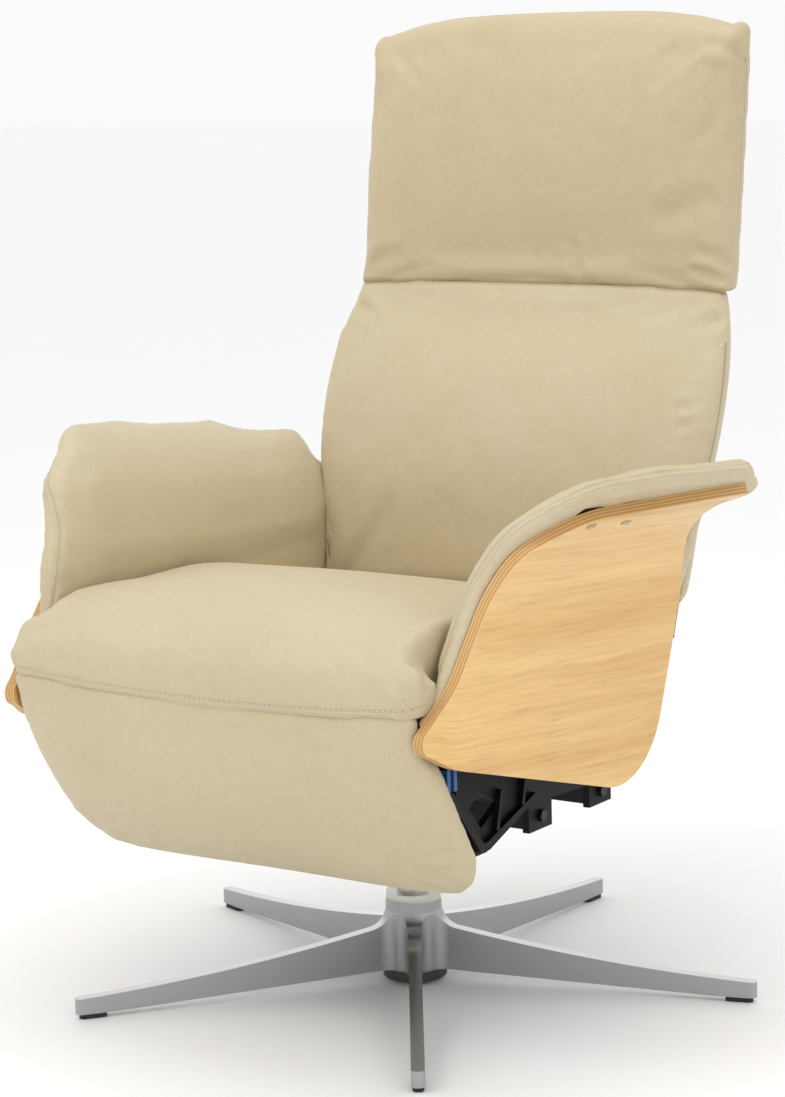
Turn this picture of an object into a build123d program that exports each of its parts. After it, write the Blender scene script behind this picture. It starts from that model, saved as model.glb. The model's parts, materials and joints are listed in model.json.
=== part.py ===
"""Swivel recliner: star base, bent oak arms, leather pads, powered back and footrest."""
import math
import os
from build123d import *

# Frame: millimetres, +Z up, origin on the floor under the swivel axis, the sitter faces -Y.

# Clearances
run_gap = 0.05        # radial gap of a turning or sliding fit
bolt_gap = 0.4        # radial gap of a bolt in its hole
soft_gap = 0.5        # gap between a soft form and what carries it
side_gap = 3.5        # gap between the seat cushion and an arm pad

# Star base
leg_count = 5
leg_heading = -56     # direction of the front leg, degrees from +X
leg_reach = 385
leg_width = 14
leg_tip_height = 17
leg_root_height = 61
hub_radius = 31
hub_bottom = 14
hub_top = 92
hub_blend = 16
bush_radius = 24
bush_length = 24
glide_inset = 19      # glide centre back from the tip of its leg
glide_length = 30
glide_width = 12
glide_height = 5
stud_radius = 3
stud_length = 8
cap_radius = 35.5
cap_bottom = 4
cap_plate = 4
thrust_height = 3

# Swivel spindle and carrier
spindle_radius = 18
collar_height = 6
plate_size = 160
plate_height = 6
plate_level = 206
plate_bolt_pitch = 120
bolt_radius = 4
bolt_head_radius = 7
bolt_head_height = 5
member_height = 24
member_depth = 40
member_wall = 3
member_pitch = 124

# Seat frame
tube = 25
tube_wall = 2
frame_level = 345
rail_face = 197       # outer face of the side tubes, inner face of the side brackets
bracket_wall = 8
front_tube_y = -286
middle_tube_y = -109.5
rear_tube_y = 20
rail_end_y = 150
end_plate = 4
end_plate_length = 64
platform_height = 18
platform_half = 222
platform_front = -298
platform_rear = 155

# Arms: a bent sheet, a wall that turns outward on a quarter circle
arm_axis_x = 393.5
arm_axis_y = -97
arm_axis_z = 454
arm_tilt = 5
shell_radius = 120
shell_wall = 12
pad_wall = 27
pad_round = 11
button_length = 16
button_width = 6
button_travel = 2
button_proud = 1
button_angle = 49
button_front_y = -45
button_rear_y = 24
switch_depth = 14

# Seat cushion
seat_crown = 475
seat_rear_top = 424
seat_rear_y = 158
seat_nose_y = -374
seat_nose_half = 253
seat_nose_depth = 28

# Backrest
back_pivot_y = 178
back_pivot_z = 357
back_foot_z = 405
back_lean = 19.9
back_length = 354
back_rear = 34
back_half = 258
pivot_radius = 6
ear_radius = 12
ear_wall = 6
recline_half_angle = 19
back_lever_length = 90
shell_depth = 46

# Headrest
head_gap = 4.4        # headrest line above the top of the back
head_lean = 7.9
head_height = 318
head_half = 238
head_shell_depth = 36
head_pivot_back = 6
head_pin_radius = 5
head_ear_x = 102

# Footrest
foot_pivot_y = -332
foot_pivot_z = 360
foot_slope = 31       # lean of the folded panel, degrees from upright
foot_roll = 26
foot_length = 206
foot_half = 254
foot_crown = 40
foot_board = 12
foot_tube_radius = 12
foot_pin_radius = 7
foot_half_angle = 50
foot_lever_length = 50

# Drives
rod_radius = 8
yoke_wall = 10
lever_wall = 8
pin_radius = 5
foot_slot_gap = 1.9
foot_rate = 45.5      # rod travel for one radian of footrest swing
back_slot_gap = 0.5
drive_x = 60
housing_radius = 15
motor_radius = 19
motor_offset = 36

# Derived levels
glide_radius = leg_reach - glide_inset
frame_top = frame_level + tube
platform_top = frame_top + platform_height
member_level = plate_level + plate_height
collar_level = hub_top + thrust_height
bracket_face = rail_face + bracket_wall
shell_inner = shell_radius + shell_wall
pad_outer = shell_inner + soft_gap
pad_inner = pad_outer + pad_wall
seat_half = arm_axis_x - pad_inner - side_gap
wall_x = arm_axis_x - shell_inner

arm_c = math.cos(math.radians(arm_tilt))
arm_s = math.sin(math.radians(arm_tilt))
arm_origin = (arm_axis_x, arm_axis_y, arm_axis_z)
arm_section = Plane(origin=arm_origin, x_dir=(1, 0, 0), z_dir=(0, -arm_c, arm_s))
arm_side = Plane(origin=arm_origin, x_dir=(0, arm_c, -arm_s), z_dir=(1, 0, 0))

back_c = math.cos(math.radians(back_lean))
back_s = math.sin(math.radians(back_lean))
head_y = back_pivot_y + (back_length + head_gap) * back_s
head_z = back_foot_z + (back_length + head_gap) * back_c
head_c = math.cos(math.radians(head_lean))
head_s = math.sin(math.radians(head_lean))
foot_c = math.cos(math.radians(foot_slope))
foot_s = math.sin(math.radians(foot_slope))


def back_point(x, rearward, up):
    """A point of the backrest from its own directions."""
    y = back_pivot_y + rearward * back_c + up * back_s
    return (x, y, back_foot_z - rearward * back_s + up * back_c)


def back_section(up):
    """Plane across the backrest: local x is X, local y points rearward."""
    return Plane(origin=back_point(0, 0, up), x_dir=(1, 0, 0), z_dir=(0, back_s, back_c))


def back_side(x):
    """Plane along the backrest: local x points rearward, local y up the back."""
    return Plane(origin=back_point(x, 0, 0), x_dir=(0, back_c, -back_s), z_dir=(1, 0, 0))


def head_side(x):
    """Plane along the headrest: local x points rearward, local y up the headrest."""
    return Plane(origin=(x, head_y, head_z), x_dir=(0, head_c, -head_s), z_dir=(1, 0, 0))


def foot_side(x):
    """Plane along the footrest: local x points to its front face, local y up to the seat."""
    return Plane(origin=(x, foot_pivot_y, foot_pivot_z), x_dir=(0, -foot_c, -foot_s), z_dir=(-1, 0, 0))


def button_plane(along):
    """Plane on the outer face of the arm sheet, its normal out of the wood."""
    a = math.radians(button_angle)
    dx = -shell_radius * math.cos(a)
    dz = shell_radius * math.sin(a)
    y = arm_axis_y + along * arm_c + dz * arm_s
    z = arm_axis_z - along * arm_s + dz * arm_c
    out = (math.cos(a), -math.sin(a) * arm_s, -math.sin(a) * arm_c)
    return Plane(origin=(arm_axis_x + dx, y, z), x_dir=(0, arm_c, -arm_s), z_dir=out)


# Star base: five blades cut from one turned form, with the hub tube in the middle
with BuildPart() as star_base:
    with BuildSketch(Plane.XZ):
        with BuildLine():
            Polyline(
                (0, hub_top), (0, hub_bottom), (cap_radius + 2, hub_bottom),
                (leg_reach - 50, glide_height), (leg_reach + 5, glide_height),
                (leg_reach + 5, glide_height + leg_tip_height),
            )
            ThreePointArc(
                (leg_reach + 5, glide_height + leg_tip_height),
                (leg_reach * 0.5, glide_height + leg_tip_height + 17),
                (hub_radius + 22, leg_root_height),
            )
            ThreePointArc(
                (hub_radius + 22, leg_root_height),
                (hub_radius + 7, leg_root_height + 7),
                (hub_radius, leg_root_height + 20),
            )
            Polyline((hub_radius, leg_root_height + 20), (hub_radius, hub_top), (0, hub_top))
        make_face()
    revolve(axis=Axis.Z)
    with BuildSketch(Plane.XY) as star_plan:
        Circle(hub_radius + 0.6)
        with PolarLocations(leg_reach / 2, leg_count, start_angle=leg_heading):
            Rectangle(leg_reach, leg_width)
        roots = star_plan.vertices().filter_by(lambda v: math.hypot(v.X, v.Y) < hub_radius + 1)
        fillet(roots.filter_by(lambda v: math.hypot(v.X, v.Y) > hub_radius - 1), hub_blend)
        tips = star_plan.vertices().filter_by(lambda v: math.hypot(v.X, v.Y) > leg_reach - 1)
        fillet(tips, leg_width * 0.45)
    extrude(amount=hub_top, mode=Mode.INTERSECT)
    with Locations((0, 0, hub_bottom)):
        Cylinder(bush_radius, hub_top - hub_bottom, align=(Align.CENTER, Align.CENTER, Align.MIN), mode=Mode.SUBTRACT)
    with PolarLocations(glide_radius, leg_count, start_angle=leg_heading):
        Cylinder(
            stud_radius, glide_height + stud_length + 1,
            align=(Align.CENTER, Align.CENTER, Align.MIN), mode=Mode.SUBTRACT,
        )

with BuildPart() as foot_glides:
    with BuildSketch(Plane.XY):
        with PolarLocations(glide_radius, leg_count, start_angle=leg_heading):
            RectangleRounded(glide_length, glide_width, glide_width * 0.4)
    extrude(amount=glide_height)
    with BuildSketch(Plane.XY.offset(glide_height)):
        with PolarLocations(glide_radius, leg_count, start_angle=leg_heading):
            Circle(stud_radius)
    extrude(amount=stud_length)

with BuildPart() as hub_bushes:
    for level in (hub_bottom + 4, hub_top - bush_length):
        with BuildSketch(Plane.XY.offset(level)):
            Circle(bush_radius)
            Circle(spindle_radius + run_gap, mode=Mode.SUBTRACT)
        extrude(amount=bush_length)

with BuildPart() as hub_cap:
    with BuildSketch(Plane.XY.offset(cap_bottom)):
        Circle(cap_radius)
    extrude(amount=cap_plate)
    with BuildSketch(Plane.XY.offset(cap_bottom + cap_plate)):
        Circle(cap_radius)
        Circle(bush_radius - 2, mode=Mode.SUBTRACT)
    extrude(amount=hub_bottom - cap_bottom - cap_plate)
    with BuildSketch(Plane.XY.offset(hub_bottom)):
        Circle(bush_radius)
        Circle(bush_radius - 2, mode=Mode.SUBTRACT)
    extrude(amount=3)
    chamfer(hub_cap.edges().group_by(Axis.Z)[0], 1.5)

with BuildPart() as thrust_washer:
    with BuildSketch(Plane.XY.offset(hub_top)):
        Circle(hub_radius - 1)
        Circle(spindle_radius + 1, mode=Mode.SUBTRACT)
    extrude(amount=thrust_height)

# Swivel spindle with its collar and top plate
with BuildPart() as swivel_spindle:
    with BuildSketch(Plane.XY.offset(hub_bottom + 4)):
        Circle(spindle_radius)
    extrude(amount=plate_level - hub_bottom - 4)
    with BuildSketch(Plane.XY.offset(collar_level)):
        Circle(hub_radius - 1)
    extrude(amount=collar_height)
    with BuildSketch(Plane.XY.offset(plate_level)):
        RectangleRounded(plate_size, plate_size, 12)
        with GridLocations(plate_bolt_pitch, plate_bolt_pitch + 4, 2, 2):
            Circle(bolt_radius + bolt_gap, mode=Mode.SUBTRACT)
    extrude(amount=plate_height)
    with BuildSketch(Plane.XY.offset(hub_bottom + 4)):
        Circle(bolt_radius)
    extrude(amount=22, mode=Mode.SUBTRACT)

with BuildPart() as spindle_washer:
    with BuildSketch(Plane.XY.offset(hub_bottom + 0.8)):
        Circle(bush_radius - 3.5)
        Circle(bolt_radius + bolt_gap, mode=Mode.SUBTRACT)
    extrude(amount=3.2)

with BuildPart() as spindle_bolt:
    with BuildSketch(Plane.XY.offset(hub_bottom + 0.8 - bolt_head_height)):
        RegularPolygon(bolt_head_radius, 6)
    extrude(amount=bolt_head_height)
    with BuildSketch(Plane.XY.offset(hub_bottom + 0.8)):
        Circle(bolt_radius)
    extrude(amount=22)

# Two cross members on the spindle plate, closed at their ends
with BuildPart() as cross_members:
    for y in (-member_pitch / 2, member_pitch / 2):
        with BuildSketch(Plane(origin=(-rail_face, y, member_level + member_height / 2),
                               x_dir=(0, 1, 0), z_dir=(1, 0, 0))):
            Rectangle(member_depth, member_height)
        extrude(amount=2 * rail_face)
        with BuildSketch(Plane(origin=(-rail_face + 6, y, member_level + member_height / 2),
                               x_dir=(0, 1, 0), z_dir=(1, 0, 0))):
            Rectangle(member_depth - 2 * member_wall, member_height - 2 * member_wall)
        extrude(amount=2 * rail_face - 12, mode=Mode.SUBTRACT)
    with BuildSketch(Plane.XY.offset(member_level)):
        with GridLocations(plate_bolt_pitch, member_pitch, 2, 2):
            Circle(bolt_radius)
    extrude(amount=member_wall, mode=Mode.SUBTRACT)
    with BuildSketch(Plane.YZ.offset(-rail_face)):
        with Locations((0, member_level + member_height / 2)):
            with GridLocations(member_pitch, 1, 2, 1):
                Circle(bolt_radius)
    extrude(amount=2 * rail_face, mode=Mode.SUBTRACT)

with BuildPart() as plate_bolts:
    with BuildSketch(Plane.XY.offset(plate_level - bolt_head_height)):
        with GridLocations(plate_bolt_pitch, member_pitch, 2, 2):
            RegularPolygon(bolt_head_radius, 6)
    extrude(amount=bolt_head_height)
    with BuildSketch(Plane.XY.offset(plate_level)):
        with GridLocations(plate_bolt_pitch, member_pitch, 2, 2):
            Circle(bolt_radius)
    extrude(amount=plate_height + member_wall + 4)

# Ribbed side bracket, its V reaching down in front of the spindle
member_mid = member_level + member_height / 2
rail_mid = frame_level + tube / 2
rail_bolt_ys = (-225, 60)
clip_y = -243
clip_z = 301
tab_half = member_depth / 2 + 3
tab_low = member_level - 3
bracket_points = [
    (-270, frame_top), (-270, 300), (-190, tab_low), (-168, tab_low),
    (-member_pitch / 2 - tab_half, 244), (-member_pitch / 2 - tab_half, tab_low),
    (-member_pitch / 2 + tab_half, tab_low), (-member_pitch / 2 + tab_half, 238),
    (member_pitch / 2 - tab_half, 234), (member_pitch / 2 - tab_half, tab_low),
    (member_pitch / 2 + tab_half, tab_low), (member_pitch / 2 + tab_half, frame_top),
]
with BuildPart() as side_bracket_left:
    with BuildSketch(Plane.YZ.offset(rail_face)):
        with BuildLine():
            Polyline(*bracket_points, close=True)
        make_face()
        with Locations((0, member_mid)):
            with GridLocations(member_pitch, 1, 2, 1):
                Circle(bolt_radius + bolt_gap, mode=Mode.SUBTRACT)
        with Locations(*[(y, rail_mid) for y in rail_bolt_ys]):
            Circle(bolt_radius + bolt_gap, mode=Mode.SUBTRACT)
        with BuildLine():
            Polyline((-200, 262), (-178, 236), (-140, 256), (-180, 272), close=True)
        make_face(mode=Mode.SUBTRACT)
    extrude(amount=bracket_wall)
    with BuildSketch(Plane.YZ.offset(bracket_face)):
        with BuildLine():
            Polyline((-264, 306), (-187, tab_low + 4), (-171, tab_low + 4), (-80, 246),
                     (-80, 253), (-174, tab_low + 13), (-182, tab_low + 13), (-258, 312), close=True)
        make_face()
        with BuildLine():
            Polyline((-258, 322), (80, 238), (80, 248), (-258, 332), close=True)
        make_face()
        with Locations((-230, 284), (-150, 250), (-100, 266)):
            Rectangle(5, 42, rotation=-14)
    extrude(amount=6)
    with BuildSketch(Plane.YZ.offset(bracket_face)):
        with Locations((0, member_mid)):
            with GridLocations(member_pitch, 1, 2, 1):
                Circle(bolt_head_radius + 2)
        with Locations((clip_y, clip_z)):
            Rectangle(22, 28)
    extrude(amount=6, mode=Mode.SUBTRACT)
    with BuildSketch(Plane.YZ.offset(rail_face)):
        with Locations((rear_tube_y, rail_mid)):
            Rectangle(tube + 3, tube + 3)
    extrude(amount=bracket_wall + 6, mode=Mode.SUBTRACT)

with BuildPart() as side_bracket_right:
    mirror(side_bracket_left.part, about=Plane.YZ)

# Bolts of the brackets, the same on both sides
with BuildPart() as bracket_bolts:
    for face, way in ((bracket_face, 1), (-bracket_face, -1)):
        for y, z in ((member_pitch / 2, member_mid), (-member_pitch / 2, member_mid),
                     (rail_bolt_ys[0], rail_mid), (rail_bolt_ys[1], rail_mid)):
            with BuildSketch(Plane(origin=(face, y, z), x_dir=(0, 1, 0), z_dir=(way, 0, 0))):
                RegularPolygon(bolt_head_radius, 6)
            extrude(amount=bolt_head_height)
            with BuildSketch(Plane(origin=(face, y, z), x_dir=(0, 1, 0), z_dir=(-way, 0, 0))):
                Circle(bolt_radius)
            extrude(amount=bracket_wall + 6)

# Blue clips on the bracket rails
with BuildPart() as rail_clips:
    for way in (1, -1):
        with BuildSketch(Plane(origin=(way * bracket_face, clip_y, clip_z + 3), x_dir=(0, 1, 0), z_dir=(way, 0, 0))):
            Rectangle(18, 14)
        extrude(amount=3)
        with BuildSketch(Plane(origin=(way * bracket_face, clip_y, clip_z), x_dir=(0, 1, 0), z_dir=(way, 0, 0))):
            with GridLocations(12, 1, 2, 1):
                Rectangle(6, 24)
        extrude(amount=9)

# Seat frame: welded tubes with arm plates, footrest eyes and back ears
tube_mid = frame_level + tube / 2
foot_eye_x = 200
with BuildPart() as seat_frame:
    for y, half in ((front_tube_y, wall_x - end_plate), (rear_tube_y, wall_x - end_plate),
                    (middle_tube_y, rail_face - tube / 2)):
        with Locations((0, y, tube_mid)):
            Box(2 * half, tube, tube)
    for x in (rail_face - tube / 2, tube / 2 - rail_face):
        with Locations((x, (front_tube_y + rail_end_y) / 2, tube_mid)):
            Box(tube, rail_end_y - front_tube_y + tube, tube)
    for x in (wall_x - end_plate / 2, end_plate / 2 - wall_x):
        with Locations((x, front_tube_y, tube_mid), (x, rear_tube_y, tube_mid)):
            Box(end_plate, end_plate_length, tube)
    for y, half in ((front_tube_y, wall_x), (rear_tube_y, wall_x), (middle_tube_y, rail_face - tube)):
        with Locations((0, y, tube_mid)):
            Box(2 * half - 2 * end_plate, tube - 2 * tube_wall, tube - 2 * tube_wall, mode=Mode.SUBTRACT)
    for x in (rail_face - tube / 2, tube / 2 - rail_face):
        with Locations((x, (front_tube_y + rail_end_y) / 2, tube_mid)):
            Box(tube - 2 * tube_wall, rail_end_y - front_tube_y + tube - 2 * tube_wall,
                tube - 2 * tube_wall, mode=Mode.SUBTRACT)
    for x in (foot_eye_x, -foot_eye_x - ear_wall):
        with BuildSketch(Plane.YZ.offset(x)):
            with Locations((foot_pivot_y, foot_pivot_z)):
                Circle(foot_roll - 12)
            with BuildLine():
                Polyline(
                    (foot_pivot_y, foot_pivot_z - foot_roll + 12), (front_tube_y - tube / 2, frame_level),
                    (front_tube_y - tube / 2, frame_top), (foot_pivot_y, foot_pivot_z + foot_roll - 12),
                    close=True,
                )
            make_face()
            with Locations((foot_pivot_y, foot_pivot_z)):
                Circle(foot_pin_radius, mode=Mode.SUBTRACT)
        extrude(amount=ear_wall)
    for x in (rail_face, -rail_face - ear_wall):
        with BuildSketch(Plane.YZ.offset(x)):
            with Locations((back_pivot_y, back_pivot_z)):
                Circle(ear_radius)
            with BuildLine():
                Polyline(
                    (back_pivot_y, back_pivot_z - ear_radius), (rail_end_y - 40, frame_level),
                    (rail_end_y - 40, frame_top), (back_pivot_y, back_pivot_z + ear_radius), close=True,
                )
            make_face()
            with Locations((back_pivot_y, back_pivot_z)):
                Circle(pivot_radius, mode=Mode.SUBTRACT)
        extrude(amount=ear_wall)
    with BuildSketch(Plane.YZ.offset(-rail_face - 1)):
        with Locations(*[(y, rail_mid) for y in rail_bolt_ys]):
            Circle(bolt_radius)
    extrude(amount=2 * rail_face + 2, mode=Mode.SUBTRACT)

# Screws that hold the arm sheets to the frame plates
with BuildPart() as arm_screws:
    for way in (1, -1):
        for y in (front_tube_y - 22, front_tube_y + 22, rear_tube_y - 22, rear_tube_y + 22):
            seat = way * (wall_x - end_plate)
            with BuildSketch(Plane(origin=(seat, y, tube_mid), x_dir=(0, 1, 0), z_dir=(-way, 0, 0))):
                Circle(5)
            extrude(amount=3)
            with BuildSketch(Plane(origin=(seat, y, tube_mid), x_dir=(0, 1, 0), z_dir=(way, 0, 0))):
                Circle(2.5)
            extrude(amount=end_plate + shell_wall - 3)
with BuildPart() as screw_holes:
    for way in (1, -1):
        for y in (front_tube_y - 22, front_tube_y + 22, rear_tube_y - 22, rear_tube_y + 22):
            seat = way * (wall_x - end_plate)
            with BuildSketch(Plane(origin=(seat, y, tube_mid), x_dir=(0, 1, 0), z_dir=(way, 0, 0))):
                Circle(2.5)
            extrude(amount=end_plate + shell_wall - 3)
seat_frame.part = seat_frame.part - screw_holes.part

with BuildPart() as seat_platform:
    with BuildSketch(Plane.XY.offset(frame_top)):
        with Locations((0, (platform_front + platform_rear) / 2)):
            RectangleRounded(2 * platform_half, platform_rear - platform_front, 15)
    extrude(amount=platform_height)

# Bent oak arm sheet: the trimmed outer face thickened, so that every edge stands square to it
shell_outline = [
    (-300, -123), (-220, -59), (-135, 65), (-55, 97), (248, 114.5), (179, 97), (224, 16), (160, -207),
]
shell_rounds = (12, 120, 60, 150, 3, 20, 60, 95)
pad_outline = [
    (-220, -64), (-136, 80), (-64, 121), (20, 129), (205, 130), (300, 114), (318, 95), (267, 42), (238, -60),
]
pad_rounds = (20, 55, 90, 120, 60, 24, 16, 60, 20)
# The left pad stays behind the rear edge of its sheet
left_pad_trim = [
    (308, 103), (240, 99), (224, 85), (230, 68), (236, 42), (226, 0), (215, -60), (212, -90),
    (340, -90), (340, 103),
]


def trimmed_faces(radius, outline, rounds):
    """The two faces of a bent sheet at this radius, inside the outline drawn from the side."""
    with BuildPart() as core:
        with BuildSketch(arm_section.offset(-300)):
            with BuildLine():
                Polyline((-radius, 0), (-radius, -300), (-radius - 5, -300), (-radius - 5, 0))
                end = math.radians(84)
                ThreePointArc(
                    (-radius - 5, 0),
                    (-(radius + 5) * math.cos(end / 2), (radius + 5) * math.sin(end / 2)),
                    (-(radius + 5) * math.cos(end), (radius + 5) * math.sin(end)),
                )
                Line(
                    (-(radius + 5) * math.cos(end), (radius + 5) * math.sin(end)),
                    (-radius * math.cos(end), radius * math.sin(end)),
                )
                ThreePointArc(
                    (-radius * math.cos(end), radius * math.sin(end)),
                    (-radius * math.cos(end / 2), radius * math.sin(end / 2)),
                    (-radius, 0),
                )
            make_face()
        extrude(amount=700)
        with BuildSketch(arm_side) as trim:
            with BuildLine():
                Polyline(*outline, close=True)
            make_face()
            for point, size in zip(outline, rounds):
                corner = trim.vertices().sort_by_distance(Vector(*point))[0]
                fillet(corner, size)
        extrude(amount=pad_inner + 20, both=True, mode=Mode.INTERSECT)
    wall = core.faces().filter_by(GeomType.PLANE).filter_by(
        lambda f: abs(f.center().X - arm_axis_x + radius) < 0.01 and f.normal_at().X > 0.99)
    bend = core.faces().filter_by(GeomType.CYLINDER).filter_by(lambda f: abs(f.radius - radius) < 0.01)
    return wall[0], bend.sort_by(SortBy.AREA)[-1]


shell_faces = trimmed_faces(shell_radius, shell_outline, shell_rounds)
with BuildPart() as shell_blank:
    for face in shell_faces:
        thicken(face, amount=-shell_wall)
with BuildPart() as arm_shell_right:
    mirror(shell_blank.part, about=Plane.YZ)
    add(screw_holes.part, mode=Mode.SUBTRACT)
with BuildPart() as arm_shell_left:
    add(shell_blank.part)
    add(screw_holes.part, mode=Mode.SUBTRACT)
    for along in (button_front_y, button_rear_y):
        with BuildSketch(button_plane(along).offset(5)):
            SlotOverall(button_length + 2 * run_gap, button_width + 2 * run_gap)
        extrude(amount=-shell_wall - 10, mode=Mode.SUBTRACT)

pad_faces = trimmed_faces(pad_outer, pad_outline, pad_rounds)
with BuildPart() as pad_blank:
    for face in pad_faces:
        thicken(face, amount=-pad_wall)
    inner = pad_blank.faces().filter_by(
        lambda f: f.geom_type == GeomType.CYLINDER and abs(f.radius - pad_inner) < 0.01)
    inner += pad_blank.faces().filter_by(GeomType.PLANE).filter_by(
        lambda f: abs(f.center().X - arm_axis_x + pad_inner) < 0.01)
    rim = [e for e in inner.edges() if sum(e.is_same(o) for f in inner for o in f.edges()) == 1]
    fillet(rim, pad_round)
with BuildPart() as arm_pad_right:
    mirror(pad_blank.part, about=Plane.YZ)
with BuildPart() as arm_pad_left:
    add(pad_blank.part)
    with BuildSketch(arm_side):
        with BuildLine():
            Polyline(*left_pad_trim, close=True)
        make_face()
    extrude(amount=arm_axis_x, both=True, mode=Mode.SUBTRACT)
    for along in (button_front_y, button_rear_y):
        with BuildSketch(button_plane(along).offset(-shell_wall)):
            RectangleRounded(button_length + 12, button_width + 14, 3)
        extrude(amount=-switch_depth - 4, mode=Mode.SUBTRACT)

# Push buttons in the left arm and the switches behind them
with BuildPart() as foot_button:
    with BuildSketch(button_plane(button_front_y).offset(button_proud)):
        SlotOverall(button_length, button_width)
    extrude(amount=-shell_wall - button_proud)
with BuildPart() as back_button:
    with BuildSketch(button_plane(button_rear_y).offset(button_proud)):
        SlotOverall(button_length, button_width)
    extrude(amount=-shell_wall - button_proud)
with BuildPart() as switch_bodies:
    for along in (button_front_y, button_rear_y):
        with BuildSketch(button_plane(along).offset(-shell_wall - soft_gap)):
            RectangleRounded(button_length + 10, button_width + 12, 2)
            SlotOverall(button_length + 1, button_width + 1, mode=Mode.SUBTRACT)
        extrude(amount=-button_travel - 1)
        with BuildSketch(button_plane(along).offset(-shell_wall - soft_gap - button_travel - 1)):
            RectangleRounded(button_length + 10, button_width + 12, 2)
        extrude(amount=-switch_depth + button_travel + 2)


def seat_profile(y, half, low, edge, crown):
    """Section of the seat cushion across the chair."""
    with BuildSketch(Plane(origin=(0, y, 0), x_dir=(1, 0, 0), z_dir=(0, -1, 0))) as profile:
        with BuildLine():
            Line((-half + 4, low), (half - 4, low))
            ThreePointArc((half - 4, low), (half, (low + edge) / 2), (half - 5, edge))
            ThreePointArc((half - 5, edge), (0, crown), (-half + 5, edge))
            ThreePointArc((-half + 5, edge), (-half, (low + edge) / 2), (-half + 4, low))
        make_face()
    return profile.sketch


seat_low = platform_top + soft_gap
with BuildPart() as seat_cushion:
    loft([
        seat_profile(seat_nose_y + 12, seat_half - 2, seat_low, seat_low + 38, seat_low + 46),
        seat_profile(seat_nose_y + 46, seat_half, seat_low, seat_crown - 16, seat_crown - 10),
        seat_profile(seat_nose_y + 114, seat_half, seat_low, seat_crown - 6, seat_crown),
        seat_profile(-150, seat_half, seat_low, seat_crown - 9, seat_crown - 3),
        seat_profile(0, seat_half, seat_low, seat_rear_top + 20, seat_rear_top + 26),
        seat_profile(seat_rear_y, seat_half - 2, seat_low, seat_rear_top - 6, seat_rear_top),
    ])
    for x, drop in ((-seat_nose_half, 10), (-seat_nose_half + 40, 2), (0, 0),
                    (seat_nose_half - 40, 2), (seat_nose_half, 10)):
        front = seat_nose_y + drop
        with BuildSketch(Plane(origin=(x, 0, 0), x_dir=(0, 1, 0), z_dir=(1, 0, 0))):
            with BuildLine():
                Line((front + 8, seat_low), (seat_nose_y + seat_nose_depth, seat_low))
                Line((seat_nose_y + seat_nose_depth, seat_low),
                     (seat_nose_y + seat_nose_depth, seat_crown - 26 - drop))
                ThreePointArc((seat_nose_y + seat_nose_depth, seat_crown - 26 - drop),
                              (front + 7, seat_crown - 40 - drop), (front, seat_low + 24))
                ThreePointArc((front, seat_low + 24), (front + 1.5, seat_low + 10), (front + 8, seat_low))
            make_face()
    loft()


def back_profile(up, half, edge, crown):
    """Section of the back cushion across the chair, its rear face flat on the frame."""
    with BuildSketch(back_section(up)) as profile:
        with BuildLine():
            rear = back_rear - soft_gap
            Line((-half + 30, rear), (half - 30, rear))
            ThreePointArc((half - 30, rear), (half - 6, rear * 0.2), (half - 2, -edge))
            ThreePointArc((half - 2, -edge), (0, -crown), (-half + 2, -edge))
            ThreePointArc((-half + 2, -edge), (-half + 6, rear * 0.2), (-half + 30, rear))
        make_face()
    return profile.sketch


with BuildPart() as back_cushion:
    loft([
        back_profile(-16, back_half - 26, 4, 9),
        back_profile(90, back_half - 8, 18, 45),
        back_profile(190, back_half, 22, 58),
        back_profile(285, back_half - 2, 18, 42),
        back_profile(back_length, back_half - 16, 2, 8),
    ])
    for x in (-head_ear_x - 4, head_ear_x + 4):
        with BuildSketch(back_side(x)):
            with Locations((-3.5, back_length - 40)):
                Rectangle(back_rear + 10, 60, align=(Align.MIN, Align.MIN))
        extrude(amount=10, both=True, mode=Mode.SUBTRACT)

back_rail = 20
back_rail_x = 200
back_rail_low = -22
back_rail_high = back_length - 22

# Rear shell of the back, hollow over the frame and open below
with BuildPart() as back_shell:
    shell_mid = back_length / 2 - 6
    rear_plane = Plane(origin=back_point(0, back_rear, shell_mid), x_dir=(-1, 0, 0), z_dir=(0, back_c, -back_s))
    with BuildSketch(rear_plane):
        RectangleRounded(2 * back_half - 62, back_length - 2, 40)
    extrude(amount=shell_depth, taper=22)
    fillet(back_shell.faces().sort_by(Axis(rear_plane.origin, rear_plane.z_dir))[-1].edges(), 16)
    with BuildSketch(rear_plane):
        with Locations((0, -8)):
            Rectangle(2 * back_rail_x + back_rail + 4, back_length - 10)
        with Locations((head_ear_x, back_length / 2), (-head_ear_x, back_length / 2)):
            Rectangle(ear_wall + 6, 50)
    extrude(amount=back_rail, mode=Mode.SUBTRACT)

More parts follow.
